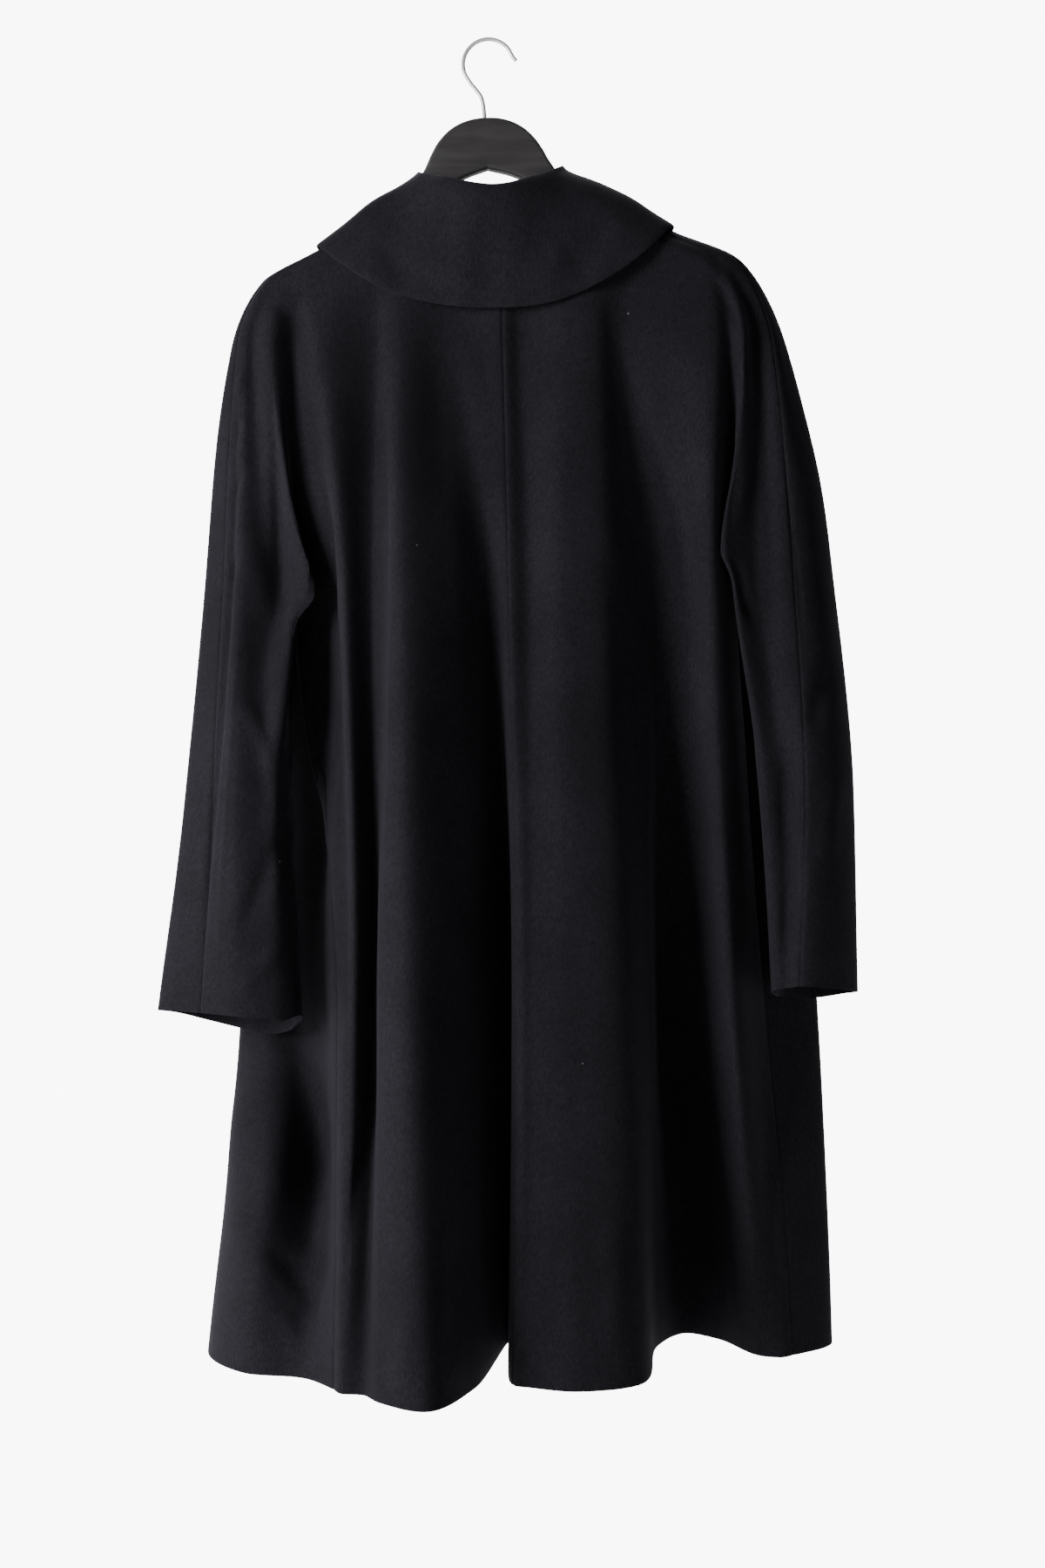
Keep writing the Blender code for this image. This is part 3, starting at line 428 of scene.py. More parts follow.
# ---------------- colours and light
WOOL_DARK = (0.0088, 0.0086, 0.0106)
WOOL_LIGHT = (0.0132, 0.0128, 0.0158)
HAIR_DARK = (0.72, 0.72, 0.73)
HAIR_LIGHT = (1.30, 1.29, 1.31)
LINT = (0.16, 0.15, 0.14)
SHEEN = (0.72, 0.68, 0.86)
PAINT_DARK = (0.024, 0.023, 0.0235)
PAINT_LIGHT = (0.048, 0.0455, 0.0455)
WIRE_DARK = (0.60, 0.60, 0.61)
WIRE_LIGHT = (0.80, 0.80, 0.80)
# The wool's felted surface, finest first: its noise's scale, detail and roughness, then the
# bump's strength and distance
WOOL_BUMPS = (
    (900.0, 4.0, 0.65, 0.30, 0.00030),
    (240.0, 4.0, 0.6, 0.10, 0.0006),
    (60.0, 3.0, 0.5, 0.20, 0.0016),
)
# The Mix node's sockets for colours: share, first and second, and its result
MIX_SOCKETS = (0, 6, 7)
MIX_RESULT = 2
FLOOR_HEIGHT = -1.30
FLOOR_RADIUS = 6.0
FLOOR_GLOW = 10.4
FLOOR_GLOW_SHARE = 0.85
AROUND = 0.035
AROUND_COLOUR = (0.93, 0.96, 1.0, 1.0)
BEHIND = 9.0
MIDDLE = (0.0, 0.0, -0.62)
# name, place, target, size, power, colour
LAMPS = (
    ("key_light", (2.05, 1.6, -0.15), MIDDLE, 1.0, 108.0, (1.0, 0.98, 1.0)),
    ("side_light", (2.5, 0.1, -0.7), (0.2, 0.0, -0.7), 1.0, 26.0, (1.0, 0.98, 1.0)),
    ("fill_light", (-2.4, 2.0, -0.1), MIDDLE, 1.6, 5.0, (1.0, 0.97, 0.94)),
    ("front_light", (1.2, -2.6, 0.8), MIDDLE, 1.4, 90.0, (1.0, 1.0, 1.0)),
    ("floor_light", (0.0, -2.2, 1.6), (0.0, -2.4, -1.3), 3.0, 160.0, (1.0, 1.0, 1.0)),
)
LENS = 46.16
SENSOR_WIDTH = 36.0
CAMERA_PLACE = (-0.0304, 1.8, -0.665)

# ---------------- curves through the folds
def hermite(here, there, leave, reach, u):
    """A cubic from one point to the next: it leaves and reaches them at the given slopes."""
    return (
        here * (1.0 + 2.0 * u) * (1.0 - u) ** 2
        + there * u * u * (3.0 - 2.0 * u)
        + leave * u * (1.0 - u) ** 2
        - reach * u * u * (1.0 - u)
    )


def smooth_through(stops, values, at):
    """Values at many stops of a curve through all values that overshoots none of them."""
    steps = np.diff(stops)[:, None]
    slopes = np.diff(values, axis=0) / steps
    bends = np.zeros_like(values)
    bends[0], bends[-1] = slopes[0], slopes[-1]
    before = 2.0 * steps[1:] + steps[:-1]
    after = steps[1:] + 2.0 * steps[:-1]
    turns = slopes[:-1] * slopes[1:] > 0.0
    safe_a = np.where(turns, slopes[:-1], 1.0)
    safe_b = np.where(turns, slopes[1:], 1.0)
    bends[1:-1] = np.where(turns, (before + after) / (before / safe_a + after / safe_b), 0.0)
    i = np.clip(np.searchsorted(stops, at) - 1, 0, len(steps) - 1)
    u = ((at - stops[i]) / steps[i, 0])[:, None]
    return hermite(values[i], values[i + 1], bends[i] * steps[i], bends[i + 1] * steps[i], u)


def along(points, places, closed=False):
    """Points on smooth curves, one curve for each row of points, at that row's places."""
    rows, count = points.shape[:2]
    places = np.broadcast_to(places, (rows, np.shape(places)[-1]))
    start = np.floor(places + PLACE_SLACK).astype(int)
    if not closed:
        start = np.clip(start, 0, count - 2)
    u = (places - start)[..., None]
    index = start[..., None] + np.arange(-1, 3)
    index = index % count if closed else np.clip(index, 0, count - 1)
    near = points[np.arange(rows)[:, None, None], index]
    chord = np.linalg.norm(np.diff(near, axis=2), axis=3)
    gap = np.sqrt(np.maximum(chord, LEAST_CHORD))[..., None]
    before, here, there, after = (near[:, :, k] for k in range(4))
    first, middle, last = (gap[:, :, k] for k in range(3))
    straight = (there - here) / middle
    leave = (here - before) / first - (there - before) / (first + middle) + straight
    reach = straight - (after - here) / (middle + last) + (after - there) / last
    return hermite(here, there, leave * middle, reach * middle, u)


def smooth_step(x):
    """0 up to 0, 1 from 1 on, and smooth between."""
    x = np.clip(x, 0.0, 1.0)
    return x * x * (3.0 - 2.0 * x)


def neck_point(angle):
    """Point of the neck seam; the angle runs from the centre back round to the left."""
    turn = math.radians(angle)
    back = math.cos(turn)
    depth = NECK_BACK_DEPTH if back > 0.0 else NECK_FRONT_DEPTH
    drop = NECK_BACK_DROP if back > 0.0 else NECK_FRONT_DROP
    side = 0.5 + 0.5 * math.sin(turn)
    height = NECK_SIDE_HEIGHT_RIGHT + (NECK_SIDE_HEIGHT_LEFT - NECK_SIDE_HEIGHT_RIGHT) * side
    height -= drop * abs(back) ** NECK_DROP_POWER
    return (NECK_HALF_WIDTH * math.sin(turn), depth * back, height)


def level_height(level, x):
    """Height of a level at one x: it slopes from the left side to the right."""
    _, left, right = LEVELS[level]
    side = np.clip((x - RIGHT_SIDE_X) / (LEFT_SIDE_X - RIGHT_SIDE_X), 0.0, 1.0)
    return right + (left - right) * side


def fold_line(levels, numbers, angle=None, end_height=None):
    """A fold's stops down the cloth and its points there.

    A fold with an angle starts at the neck, and one with none at the underarm.
    """
    stops = [LEVELS[level][0] for level in levels]
    points = []
    for level, x, y in zip(levels, numbers[0::2], numbers[1::2]):
        points.append((x, y, level_height(level, x)))
    if end_height is not None:
        points[-1] = (*points[-1][:2], end_height)
    if angle is None:
        x, y, height = points[0]
        stops[:0] = (stops[0] - UNDERARM_STRAIGHT,)
        points[:0] = ((x, y, height + UNDERARM_STRAIGHT),)
    else:
        neck = neck_point(angle)
        straight = [a + SHOULDER_STRAIGHT * (b - a) for a, b in zip(neck, points[0])]
        straight[2] -= SHOULDER_SAG
        stops[:0] = (0.0, SHOULDER_STRAIGHT * stops[0])
        points[:0] = (neck, straight)
    return np.array(stops), np.array(points, dtype=float)


def body_lines(table):
    """Fold lines from the neck to the hem."""
    levels = ("shoulder", "yoke", "underarm", "wrist", "hem")
    return [fold_line(levels, row[2:], row[1]) for row in table]


def side_lines(table):
    """Fold lines from the underarm to the hem."""
    return [fold_line(("underarm", "wrist", "skirt", "hem"), row[1:]) for row in table]


def sleeve_lines(table):
    """Fold lines from the neck to the cuff."""
    levels = ("shoulder", "yoke", "underarm", "sleeve", "wrist")
    return [fold_line(levels, row[2:-1], row[1], row[-1]) for row in table]


def inner_lines(table):
    """Fold lines from the underarm to the cuff."""
    levels = ("underarm", "sleeve", "wrist")
    return [fold_line(levels, row[1:-1], None, row[-1]) for row in table]


def ring(lines, runs):
    """The points of all fold lines, one row for each distance down the cloth."""
    return np.stack([smooth_through(stops, points, runs) for stops, points in lines], axis=1)


def underarm_spread(runs):
    """How far the cloth has spread from the fold under the arm: a round, then back to none."""
    drop = np.clip((runs - UNDERARM_RUN) / UNDERARM_RADIUS, 0.0, 1.0)
    fade = np.clip((runs - UNDERARM_RUN - UNDERARM_RADIUS) / UNDERARM_FADE, 0.0, 1.0)
    return UNDERARM_RADIUS * np.sqrt(1.0 - (1.0 - drop) ** 2) * (1.0 - fade)


def even_runs(start, end):
    """Even rows from one distance down the cloth to another."""
    return np.linspace(start, end, round((end - start) / ROW_STEP) + 1)


# ---------------- places across the cloth
# A place counts fold lines along a ring, so 2.5 is halfway between the third and the fourth
def count_per_mm(points, place, direction):
    """How much of each row's count one millimetre takes beside a place."""
    place = np.broadcast_to(place, len(points))[:, None]
    near = along(points, place + SHORT_STEP * direction, True) - along(points, place, True)
    return SHORT_STEP / np.maximum(np.linalg.norm(near[:, 0], axis=1), SHORT_STEP)


def from_seam(points, seam, direction):
    """Places beside a seam, outward from it."""
    count = count_per_mm(points, seam, direction)
    seam = np.broadcast_to(seam, len(points))
    return seam[:, None] + direction * np.outer(count, SEAM_COLUMNS)


def between(first, last, steps, rows):
    """Evenly spaced places after the first one, up to the last one, for each row."""
    first = np.broadcast_to(first, rows)[:, None]
    last = np.broadcast_to(last, rows)[:, None]
    return first + (last - first) * (np.arange(1, steps + 1) / steps)[None, :]


def seam_to_notch(points, seam, notch):
    """Places from a seam to a notch further along, and the notch itself."""
    beside = from_seam(points, seam, 1.0)
    walk = between(beside[:, -1], notch, STEPS_PER_FOLD * (notch - seam), len(points))
    return np.concatenate((beside, walk), axis=1)


def notch_to_seam(points, notch, seam):
    """Places from past a notch to a seam further along."""
    beside = from_seam(points, seam, -1.0)[:, ::-1]
    walk = between(notch, beside[:, 0], STEPS_PER_FOLD * (seam - notch), len(points))
    return np.concatenate((walk[:, :-1], beside), axis=1)


def to_gusset(points, runs, notch, seam):
    """Places from past a notch to where the gusset leaves off, the last few beside the seam."""
    direction = 1.0 if seam > notch else -1.0
    share = np.clip((runs - UNDERARM_RUN) / GUSSET_LENGTH, 0.0, 1.0)
    reach = share * abs(seam - notch)
    count = count_per_mm(points, notch + direction * reach, -direction)
    beside = np.maximum(reach[:, None] - np.outer(count, SEAM_COLUMNS[::-1]), 0.0)
    steps = STEPS_TO_GUSSET * max(1, round(abs(seam - notch)))
    walk = between(0.0, beside[:, 0], steps, len(points))
    return notch + direction * np.concatenate((walk[:, :-1], beside), axis=1)


def across_gusset(points, runs, first, seam, last):
    """Places across the gusset, from its back edge to its front edge."""
    share = np.clip((runs - UNDERARM_RUN) / GUSSET_LENGTH, 0.0, 1.0)
    direction = 1.0 if last > first else -1.0
    start = first + share * (seam - first)
    end = last + share * (seam - last)
    start = start + direction * SEAM_COLUMNS[0] * count_per_mm(points, start, direction)
    end = end - direction * SEAM_COLUMNS[0] * count_per_mm(points, end, -direction)
    return start[:, None] + (end - start)[:, None] * np.linspace(0.0, 1.0, GUSSET_COLUMNS)


class Grid:
    """Rows of points down one stretch of cloth, with how far down it each of them is."""

    def __init__(self, points, runs):
        self.points = points
        self.runs = np.repeat(runs[:, None], points.shape[1], axis=1)

    def seam_distance(self):
        """Distance along each row to the nearer of its two ends."""
        steps = np.linalg.norm(np.diff(self.points, axis=1), axis=2)
        walked = np.concatenate((np.zeros((len(steps), 1)), np.cumsum(steps, axis=1)), axis=1)
        return np.minimum(walked, walked[:, -1:] - walked)

    def quads(self, base):
        """Its faces, as numbers of points that count from a base."""
        rows, columns = self.points.shape[:2]
        index = base + np.arange(rows * columns).reshape(rows, columns)
        corners = (index[:-1, :-1], index[:-1, 1:], index[1:, 1:], index[1:, :-1])
        return np.stack(corners, axis=-1).reshape(-1, 4)


class Sheet:
    """A cloth piece's points, faces, and what the finer shaping needs to know of each point."""

    def __init__(self, grids):
        points = np.concatenate([grid.points.reshape(-1, 3) for grid in grids])
        runs = np.concatenate([grid.runs.ravel() for grid in grids])
        seams = np.concatenate([grid.seam_distance().ravel() for grid in grids])
        bases = np.cumsum([0] + [grid.runs.size for grid in grids])
        quads = np.concatenate([grid.quads(base) for grid, base in zip(grids, bases)])
        keys = np.round(points / WELD_DISTANCE).astype(np.int64)
        _, first, welded = np.unique(keys, axis=0, return_index=True, return_inverse=True)
        self.points = points[first]
        self.runs = runs[first]
        self.seams = seams[first]
        self.faces = []
        for face in welded.ravel()[quads].tolist():
            corners = [corner for k, corner in enumerate(face) if corner != face[k - 1]]
            if len(set(corners)) == len(corners) >= 3:
                self.faces.append(corners)

    def normals(self):
        """Smooth normals, pointing away from the inside of the coat."""
        result = np.zeros_like(self.points)
        corners = np.array([(face + face[-1:])[:4] for face in self.faces])
        a, b, c, d = (self.points[corners[:, k]] for k in range(4))
        across = np.cross(c - a, d - b)
        for k in range(4):
            np.add.at(result, corners[:, k], across)
        return result / np.maximum(np.linalg.norm(result, axis=1, keepdims=True), TINY)

    def turned(self):
        """The same sheet with its faces pointing the other way."""
        self.faces = [face[::-1] for face in self.faces]
        return self


def joined(lower, runs, row, first, last):
    """A lower grid whose top row is drawn to the row above it, fading out further down."""
    fade = 1.0 - smooth_step((runs - UNDERARM_RUN) / GUSSET_LENGTH)
    lower[:, first:last] += fade[:, None, None] * (row - lower[0, first:last])
    lower[0, first:last] = row
    if first == 0:
        lower[0, last:] = row[-1]
    else:
        lower[0, :first] = row[0]
    return lower


def before_notch(points, runs, seam, notch, side, row, closed=False):
    """A lower grid from a seam to a notch and on to the gusset, hung from the row above."""
    walk = seam_to_notch(points, seam, notch)
    places = np.concatenate((walk, to_gusset(points, runs, notch, side)), axis=1)
    return joined(along(points, places, closed), runs, row, 0, walk.shape[1])


def after_notch(points, runs, notch, seam, side, row, closed=False):
    """A lower grid from the gusset to a notch and on to a seam, hung from the row above."""
    beside = to_gusset(points, runs, notch, side)[:, ::-1]
    corner = np.full((len(points), 1), float(notch))
    places = np.concatenate((beside, corner, notch_to_seam(points, notch, seam)), axis=1)
    return joined(along(points, places, closed), runs, row, beside.shape[1], None)


class CoatHalf:
    """One side of the coat: its rings of fold lines, and where the seams lie among them.

    The upper and body rings start one line before the centre back and end one line past the
    centre front, so that the curves run on smoothly through both.
    """

    def __init__(self, name, back, side, front, sleeve, inner, next_back, next_front):
        self.name = name
        self.spread = 1.0 if name == "left" else -1.0
        self.sleeve_over = [row[0] for row in sleeve].index("over_seam")
        back = body_lines((next_back, *back))
        front = body_lines((*front, next_front))
        sleeve = sleeve_lines(sleeve)
        self.upper = back + sleeve[1:-1] + front
        self.body = back + side_lines(side) + front
        self.sleeve = sleeve + inner_lines(inner)
        self.centre_back = 1
        self.notch_back = len(back) - 1
        self.over_seam = self.notch_back + self.sleeve_over
        self.upper_notch_front = self.notch_back + len(sleeve) - 1
        self.upper_centre_front = self.upper_notch_front + len(front) - 2
        self.side_seam = self.notch_back + 1
        self.body_notch_front = self.notch_back + len(side) + 1
        self.body_centre_front = self.body_notch_front + len(front) - 2
        self.sleeve_notch_front = len(sleeve) - 1
        self.under_seam = len(self.sleeve) - 1
        near = UNDERARM_RUN + np.array(UNDERARM_ROWS)
        self.upper_runs = even_runs(0.0, UNDERARM_RUN)
        self.body_runs = np.concatenate((near, even_runs(near[-1], LEVELS["hem"][0])[1:]))
        self.sleeve_runs = np.concatenate((near, even_runs(near[-1], LEVELS["wrist"][0])[1:]))

    def upper_grid(self, start, notch, end):
        """The stretch above the underarm, and its last row up to the notch and from it on."""
        points = ring(self.upper, self.upper_runs)
        walk = seam_to_notch(points, start, notch)
        grid = along(points, np.concatenate((walk, notch_to_seam(points, notch, end)), axis=1))
        return grid, grid[-1, :walk.shape[1]], grid[-1, walk.shape[1] - 1:]

    def body_ring(self, runs):
        """Body rings, from beyond the centre back to beyond the centre front."""
        points = ring(self.body, runs)
        moved = self.spread * underarm_spread(runs)[:, None]
        points[:, self.notch_back:self.body_notch_front + 1, 0] -= moved
        return points

    def sleeve_ring(self, runs):
        """Closed sleeve rings; the notch at the back is their first point."""
        points = ring(self.sleeve, runs)
        moved = self.spread * underarm_spread(runs)[:, None]
        points[:, self.sleeve_notch_front:, 0] += moved
        points[:, 0, 0] += moved[:, 0]
        return points

    def back(self):
        """The back with its half of the sleeve."""
        upper, to_notch, to_over = self.upper_grid(
            self.centre_back, self.notch_back, self.over_seam)
        body = before_notch(
            self.body_ring(self.body_runs), self.body_runs,
            self.centre_back, self.notch_back, self.side_seam, to_notch)
        sleeve = after_notch(
            self.sleeve_ring(self.sleeve_runs), self.sleeve_runs,
            0, self.sleeve_over, -1, to_over, closed=True)
        return self.sheet((upper, body, sleeve))

    def front(self):
        """The front with its half of the sleeve."""
        upper, to_notch, to_end = self.upper_grid(
            self.over_seam, self.upper_notch_front, self.upper_centre_front)
        body = after_notch(
            self.body_ring(self.body_runs), self.body_runs,
            self.body_notch_front, self.body_centre_front, self.side_seam, to_end)
        sleeve = before_notch(
            self.sleeve_ring(self.sleeve_runs), self.sleeve_runs,
            self.sleeve_over, self.sleeve_notch_front, self.under_seam, to_notch, closed=True)
        return self.sheet((upper, body, sleeve))

    def gusset(self):
        """The diamond under the arm: from the body up over the fold and down the sleeve."""
        rows = np.arange(GUSSET_FIRST_ROW, GUSSET_LENGTH, ROW_STEP)
        runs = UNDERARM_RUN + np.concatenate((UNDERARM_ROWS, rows))
        upward = runs[::-1]
        body = self.body_ring(upward)
        body = along(body, across_gusset(
            body, upward, self.notch_back, self.side_seam, self.body_notch_front))
        sleeve = self.sleeve_ring(runs)
        sleeve = along(sleeve, across_gusset(
            sleeve, runs, len(self.sleeve), self.under_seam, self.sleeve_notch_front), True)
        sleeve[0] = body[-1]
        sheet = Sheet([Grid(body, upward), Grid(sleeve, runs)])
        return sheet.turned() if self.name == "left" else sheet

    def sheet(self, grids):
        """One cloth piece of its three stretches, its faces pointing outward."""
        runs = (self.upper_runs, self.body_runs, self.sleeve_runs)
        sheet = Sheet([Grid(points, run) for points, run in zip(grids, runs)])
        return sheet.turned() if self.name == "right" else sheet


def collar_sheet():
    """The collar: a stand from the neck seam, the roll, and the wide fall."""
    lines = []
    for _, angle, *numbers, bulge in COLLAR:
        roll = np.array(numbers[:3], dtype=float)
        edge = np.array(numbers[3:], dtype=float)
        turn = math.radians(angle)
        outward = np.array((math.sin(turn), math.cos(turn), 0.0))
        sideways = np.array((math.cos(turn), -math.sin(turn), 0.0))
        neck = np.array(neck_point(angle)) + (0.0, 0.0, NECK_SEAM_LIFT)
        roll_inside = neck + STAND_SHARE * (roll - neck)
        roll_outside = roll + ROLL_OUT * outward - (0.0, 0.0, ROLL_DOWN)
        lift = np.cross(sideways, edge - roll)
        middle = 0.5 * (roll + edge) + bulge * lift / np.linalg.norm(lift)
        lines.append([neck, roll_inside, roll, roll_outside, middle, edge])
    lines = np.array(lines)
    last_row, last_line = lines.shape[1] - 1, len(COLLAR) - 1
    down = np.linspace(0.0, last_row, COLLAR_STEPS_DOWN * last_row + 1)
    rows = along(lines, down[None, :]).transpose(1, 0, 2)
    places = np.linspace(0.0, last_line, COLLAR_STEPS_ALONG * last_line + 1)
    return Sheet([Grid(along(rows, places[None, :]), down)])


# ---------------- the finer shaping
def unevenness(points, seed, waves, lengths, height):
    """A soft random unevenness, longer down the cloth than across it."""
    random = np.random.default_rng(seed)
    result = np.zeros(len(points))
    for _ in range(waves):
        length = random.uniform(*lengths)
        turn = random.uniform(-WAVE_TURN, WAVE_TURN)
        deep = random.uniform(-WAVE_DEPTH, WAVE_DEPTH)
        across = np.array((math.cos(turn), deep, WAVE_STRETCH * math.sin(turn)))
        start = random.uniform(0.0, 2.0 * math.pi)
        result += np.sin(points @ across * 2.0 * math.pi / length + start)
    return height * result / math.sqrt(waves)


def crease(points, facing, width, depth, line):
    """How far a crease moves each point: a soft trough, or a ridge with a depth below zero."""
    places = np.array(line, dtype=float).reshape(-1, 2)
    flat = points[:, (0, 2)]
    reach = CREASE_REACH * width
    low, high = places.min(axis=0) - reach, places.max(axis=0) + reach
    chosen = ((flat > low) & (flat < high)).all(axis=1) & (facing > 0.0)
    near = flat[chosen]
    lengths = np.linalg.norm(np.diff(places, axis=0), axis=1)
    walked = np.concatenate(([0.0], np.cumsum(lengths)))
    best = np.full(len(near), np.inf)
    share = np.zeros(len(near))
    for k, length in enumerate(lengths):
        step = (places[k + 1] - places[k]) / length
        t = np.clip((near - places[k]) @ step, 0.0, length)
        distance = np.linalg.norm(near - places[k] - t[:, None] * step, axis=1)
        closer = distance < best
        best[closer] = distance[closer]
        share[closer] = (walked[k] + t[closer]) / walked[-1]
    taper = smooth_step(share / CREASE_FADE) * smooth_step((1.0 - share) / CREASE_FADE)
    shown = np.clip(facing[chosen] * CREASE_FACING, 0.0, 1.0)
    result = np.zeros(len(points))
    result[chosen] = -depth * taper * np.exp(-(best / width) ** 2) * shown
    return result


def pull(points, middle, reach, move):
    """Draw the cloth near one place along, with a reach of its own above it and below it."""
    across, deep, above, below = reach
    away = points - middle
    up = np.where(away[:, 2] > 0.0, above, below)
    near = -(away[:, 0] / across) ** 2 - (away[:, 1] / deep) ** 2 - (away[:, 2] / up) ** 2
    return np.exp(near)[:, None] * np.array(move, dtype=float)


def seams_inward(sheet, seed):
    """How far the cloth turns inward along its seams, with soft puckers beside them."""
    wander = PUCKER_WANDER * np.sin(sheet.runs * PUCKER_DRIFT + seed)
    puckers = 1.0 + PUCKER_SHARE * np.sin(sheet.runs * PUCKER_PITCH + wander)
    move = -SEAM_DEPTH * np.exp(-(sheet.seams / SEAM_REACH) ** 2)
    return move - DIP_DEPTH * puckers * np.exp(-(sheet.seams / DIP_REACH) ** 2)


def shape_cloth(sheet, move, seed, waves, back_creases, front_creases):
    """Move the cloth along its normals: a given move, a soft unevenness and the creases."""
    normals = sheet.normals()
    move = move + unevenness(sheet.points, seed, *waves)
    for side, creases in ((1.0, back_creases), (-1.0, front_creases)):
        for width, depth, *line in creases:
            move += crease(sheet.points, side * normals[:, 1], width, depth, line)
    sheet.points = sheet.points + normals * move[:, None]


# ---------------- materials
def set_inputs(tree, node, values):
    """Set a node's own sockets: to a constant number or colour, or linked to another node's."""
    for name, value in values.items():
        if isinstance(value, bpy.types.NodeSocket):
            tree.links.new(value, node.inputs[name])
        else:
            node.inputs[name].default_value = value


def add_node(tree, kind, output, values):
    """The named output of a new shader node with its inputs set."""
    node = tree.nodes.new("ShaderNode" + kind)
    set_inputs(tree, node, values)
    return node.outputs[output]


def new_material(name, roughness):
    """A material, its node tree, its principled shader and its object coordinates."""
    material = bpy.data.materials.new(name)
    material.use_nodes = True
    tree = material.node_tree
    shader = tree.nodes["Principled BSDF"]
    set_inputs(tree, shader, {"Roughness": roughness})
    return material, tree, shader, add_node(tree, "TexCoord", "Object", {})


def noise(tree, place, scale, detail, roughness=0.5, stretch=None):
    """A noise texture's value, and, with a stretch, one drawn out along the axes."""
    if stretch is not None:
        place = add_node(tree, "Mapping", "Vector", {"Vector": place, "Scale": stretch})
    return add_node(tree, "TexNoise", "Fac", {
        "Vector": place, "Scale": scale, "Detail": detail, "Roughness": roughness,
    })


def ramp(tree, value, *stops):
    """A colour for each value, from stops of a value and a colour, or a grey."""
    node = tree.nodes.new("ShaderNodeValToRGB")
    for stop, (at, colour) in zip(node.color_ramp.elements, stops):
        stop.position = at
        stop.color = (*colour, 1.0) if isinstance(colour, tuple) else (*(colour,) * 3, 1.0)
    set_inputs(tree, node, {"Fac": value})
    return node.outputs["Color"]


def mixed(tree, kind, share, first, second):
    """Two colours mixed."""
    node = tree.nodes.new("ShaderNodeMix")
    node.data_type = "RGBA"
    node.blend_type = kind
    set_inputs(tree, node, dict(zip(MIX_SOCKETS, (share, first, second))))
    return node.outputs[MIX_RESULT]


def bumped(tree, height, strength, distance, under=None):
    """A bump on the surface, over another one where there is one."""
    values = {"Height": height, "Strength": strength, "Distance": distance}
    if under is not None:
        values["Normal"] = under
    return add_node(tree, "Bump", "Normal", values)


def wool_material():
    """Near-black wool: a fine twill, felted hairs, a soft sheen and a little lint."""
    material, tree, shader, place = new_material("wool_cloth", roughness=0.88)
    cloudy = noise(tree, place, scale=9.0, detail=4.0, roughness=0.55)
    colour = ramp(tree, cloudy, (0.30, WOOL_DARK), (0.72, WOOL_LIGHT))
    melange = noise(tree, place, scale=620.0, detail=3.0, roughness=0.75, stretch=(1.0, 1.0, 0.4))
    hairs = ramp(tree, melange, (0.36, HAIR_DARK), (0.66, HAIR_LIGHT))
    colour = mixed(tree, "MULTIPLY", 1.0, colour, hairs)
    fuzz = noise(tree, place, scale=170.0, detail=4.0, roughness=0.7)
    fuzz = ramp(tree, fuzz, (0.32, 0.93), (0.70, 1.07))
    colour = mixed(tree, "MULTIPLY", 1.0, colour, fuzz)
    specks = add_node(tree, "TexVoronoi", "Distance", {
        "Vector": place, "Scale": 21.0, "Randomness": 1.0,
    })
    lint = ramp(tree, specks, (0.012, 1.0), (0.017, 0.0))
    colour = mixed(tree, "MIX", lint, colour, (*LINT, 1.0))
    twill = tree.nodes.new("ShaderNodeTexWave")
    twill.wave_type = "BANDS"
    twill.bands_direction = "DIAGONAL"
    set_inputs(tree, twill, {"Vector": place, "Scale": 330.0, "Distortion": 1.6, "Detail": 2.0})
    under = bumped(tree, twill.outputs["Fac"], strength=0.30, distance=0.00025)
    for scale, detail, roughness, strength, distance in WOOL_BUMPS:
        height = noise(tree, place, scale, detail, roughness)
        under = bumped(tree, height, strength, distance, under)
    set_inputs(tree, shader, {
        "Base Color": colour,
        "Normal": under,
        "Specular IOR Level": 0.06,
        "Sheen Weight": 0.06,
        "Sheen Roughness": 0.42,
        "Sheen Tint": (*SHEEN, 1.0),
    })
    return material


def wood_material():
    """Black painted wood: a satin paint over a grain that shows through faintly."""
    material, tree, shader, place = new_material("painted_wood", roughness=0.42)
    grain = noise(tree, place, scale=60.0, detail=6.0, roughness=0.6, stretch=(0.16, 1.0, 1.6))
    cloudy = noise(tree, place, scale=35.0, detail=4.0)
    fine = noise(tree, place, scale=700.0, detail=3.0)
    under = bumped(tree, grain, strength=0.25, distance=0.0004)
    set_inputs(tree, shader, {
        "Base Color": ramp(tree, grain, (0.32, PAINT_DARK), (0.70, PAINT_LIGHT)),
        "Roughness": ramp(tree, cloudy, (0.3, 0.36), (0.7, 0.50)),
        "Normal": bumped(tree, fine, strength=0.12, distance=0.0002, under=under),
        "Specular IOR Level": 0.45,
    })
    return material


def steel_material():
    """Bright wire with fine drawn lines."""
    material, tree, shader, place = new_material("bright_wire", roughness=0.36)
    cloudy = noise(tree, place, scale=120.0, detail=3.0)
    worn = noise(tree, place, scale=260.0, detail=4.0)
    lines = noise(tree, place, scale=1500.0, detail=2.0)
    set_inputs(tree, shader, {
        "Base Color": ramp(tree, cloudy, (0.3, WIRE_DARK), (0.7, WIRE_LIGHT)),
        "Roughness": ramp(tree, worn, (0.3, 0.30), (0.7, 0.46)),
        "Normal": bumped(tree, lines, strength=0.08, distance=0.0001),
        "Metallic": 0.5,
    })
    return material


# ---------------- the pieces
def add_object(name, data):
    """A new object in the scene."""
    thing = bpy.data.objects.new(name, data)
    bpy.context.scene.collection.objects.link(thing)
    return thing


def add_spline(curve, points):
    """A line of straight steps on a curve, through points in millimetres."""
    spline = curve.splines.new("POLY")
    spline.points.add(len(points) - 1)
    for point, place in zip(spline.points, points):
        point.co = (*(place * MM), 1.0)
    return spline


